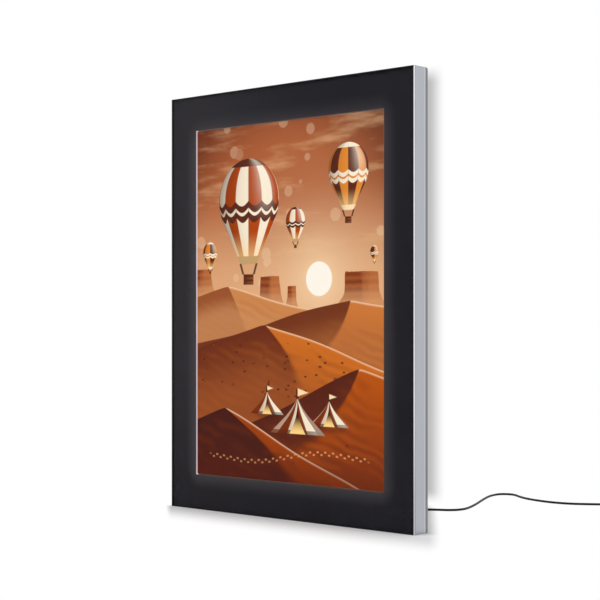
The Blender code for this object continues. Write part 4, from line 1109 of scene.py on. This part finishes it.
def screw_mesh(name, shank, head, head_height, length, recess):
    """Pan-head screw with a cross recess, turned about Z with its seat at zero."""
    dome = arc((0, 0), 1.0, 0, math.pi / 2, 7)
    profile = [(0, -length), (shank, -length), (shank, 0), (head, 0)]
    profile += [(head * (0.72 + 0.28 * c) if c > 0.001 else 0, head_height * (0.25 + 0.75 * s))
                for c, s in dome]
    solid = turned_mesh(name, profile, 32, 50)
    rings = []
    for height, reach in ((0.35 * head_height, 0.55 * recess), (1.3 * head_height, 1.15 * recess)):
        narrow = 0.26 * recess
        corner = [(reach, -narrow), (reach, narrow), (narrow, narrow)]
        ring = []
        for _ in range(4):
            ring += [(x, y, height) for x, y in corner]
            corner = [(-y, x) for x, y in corner]
        rings.append(ring)
    cutter = lofted_mesh("cross", rings)
    return cut_mesh(solid, cutter)


def bumper_mesh():
    """Rubber bumper with a soft rim, turned about Z."""
    rim = BUMPER_RIM
    profile = [(0, FIT_GAP), (BUMPER_RADIUS - 0.0003, FIT_GAP), (BUMPER_RADIUS, 2 * FIT_GAP)]
    profile += arc((BUMPER_RADIUS - rim, BUMPER_HEIGHT - rim), rim, 0, math.pi / 2, 6)
    profile.append((0, BUMPER_HEIGHT))
    return turned_mesh("bumper", profile, 36)


def replace_each(kind, count, mesh, height, name, finish):
    """A finer piece for each plain solid of a kind, seated a height in from its rear face."""
    for number in range(1, count + 1):
        node = f"{kind}_{number}"
        low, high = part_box(node)
        seat = Vector(((low.x + high.x) / 2, high.y - height, (low.z + high.z) / 2))
        add_piece(f"{name}_{number}", mesh, finish, place=placed(seat, -1), stands_for=[node])


def add_fasteners():
    for kind, count, sizes in (("panel_screw", 6, PANEL_SCREW), ("hanger_screw", 4, HANGER_SCREW)):
        mesh = screw_mesh(kind, *sizes)
        replace_each(kind, count, mesh, sizes[2], kind + "_head", "zinc_steel")
    replace_each("bumper", 4, bumper_mesh(), BUMPER_HEIGHT, "bumper_pad", "grey_rubber")


# Floor, background and lamps

def stage_finish(name, corners):
    """The matt white material of a new flat stage piece."""
    mesh = bpy.data.meshes.new(name)
    mesh.from_pydata(corners, [], [(0, 1, 2, 3)])
    piece = add_object(name, mesh)
    finish = Finish(name, (0.70, 0.70, 0.705, 1.0), 0.9)
    finish.set("Specular IOR Level", 0.1)
    mesh.materials.append(finish.material)
    return finish


def seen_rays(tree, kinds):
    """1 for the named kinds of ray and 0 for the others."""
    path = tree.nodes.new("ShaderNodeLightPath")
    seen = Field(tree, path.outputs[kinds[0]])
    for kind in kinds[1:]:
        seen = seen.apply("MAXIMUM", Field(tree, path.outputs[kind]))
    return seen


def add_floor():
    """A plain white floor that keeps the shadow close to the frame."""
    reach = FLOOR_REACH
    corners = [(-reach, -reach, 0), (reach, -reach, 0), (reach, reach, 0), (-reach, reach, 0)]
    floor = stage_finish("floor", corners)
    x, y, _ = floor.axes()
    # The lamps' own shadow shows only inside a painted outline, slanted to the left and right;
    # beyond it the floor is painted white
    before = (-1.0 * y - FRAME_HALF_DEPTH).above_zero()
    behind = (y - FRAME_HALF_DEPTH - SHADOW_BEHIND).above_zero()
    from_left = before * SHADOW_SLANT_LEFT - x - COVER_HALF_WIDTH
    from_right = x + (y - REAR_ROUND_START) * SHADOW_SLANT_RIGHT - COVER_HALF_WIDTH
    leftward = from_left.above_zero() * SHADOW_NARROWER_LEFT
    rightward = from_right.above_zero() * SHADOW_NARROWER_RIGHT
    beside = leftward.apply("MAXIMUM", rightward)
    along = before + behind
    away = distance(beside, along)
    tree = floor.tree
    white = add_shader(tree, "Emission", {"Color": srgb(255, 255, 255)})
    whitened = away.smooth(0.0, SHADOW_REACH) * seen_rays(tree, BACKGROUND_RAYS)
    floor.show(mixed_shader(tree, whitened, floor.shader.outputs["BSDF"], white))


def add_painted_shadow_screen():
    """A clear screen close behind the frame with a painted shadow on its right, as of a wall in the
    frame's shadow.
    """
    left, right = WINDOW_HALF_WIDTH, COVER_HALF_WIDTH + SCREEN_MARGIN
    foot, top = SCREEN_FOOT, COVER_HIGH.z + SCREEN_RISE
    depth = FRAME_HALF_DEPTH + SCREEN_GAP
    corners = [(left, depth, foot), (right, depth, foot), (right, depth, top), (left, depth, top)]
    screen = stage_finish("shadow_screen", corners)
    x, _, z = screen.axes()
    # Painted shadow: from the front the screen darkens what is seen through it, most near the
    # frame's right side, fading at its edges
    shade = x.band(left, left + SCREEN_FADE,
                   COVER_HALF_WIDTH - SCREEN_SHADE_INNER, COVER_HALF_WIDTH + SCREEN_SHADE_OUTER)
    shade = shade * z.band(foot, foot + SCREEN_FOOT_FADE,
                           top - SCREEN_TOP_FADE[1], top - SCREEN_TOP_FADE[0])
    tree = screen.tree
    behind = Field(tree, tree.nodes.new("ShaderNodeNewGeometry").outputs["Backfacing"])
    painted_shadow_amount = shade * seen_rays(tree, ["Is Camera Ray"]) * (1.0 - behind)
    tint = screen.mixed(srgb(255, 255, 255), srgb(0, 0, 0), painted_shadow_amount * SCREEN_SHADE)
    screen.show(add_shader(tree, "BsdfTransparent", {"Color": tint}))


def add_world():
    """A white world for the camera, metal and glass, and a softer fill on the object."""
    world = bpy.data.worlds.new("world")
    bpy.context.scene.world = world
    world.use_nodes = True
    tree = world.node_tree
    background = tree.nodes["Background"]
    background.inputs["Color"].default_value = (1.0, 1.0, 1.0, 1.0)
    shown = seen_rays(tree, BACKGROUND_RAYS)
    connect(tree, FILL_LIGHT + shown * (1.0 - FILL_LIGHT), background.inputs["Strength"])


def add_lamp(name, place, size, power):
    data = bpy.data.lights.new(name, "AREA")
    data.shape = "DISK"
    data.size = size
    data.energy = power
    lamp = add_object(name, data)
    lamp.location = place
    towards = Vector((0, 0, MIDDLE_HEIGHT)) - Vector(place)
    lamp.rotation_euler = towards.to_track_quat("-Z", "Y").to_euler()


add_camera()
FINISHES = make_finishes()
paint_nodes()
add_lead()
add_fasteners()
add_floor()
add_painted_shadow_screen()
add_world()
add_lamp("key", *KEY_LAMP)
add_lamp("side", *SIDE_LAMP)
bpy.context.scene.view_settings.view_transform = "Standard"
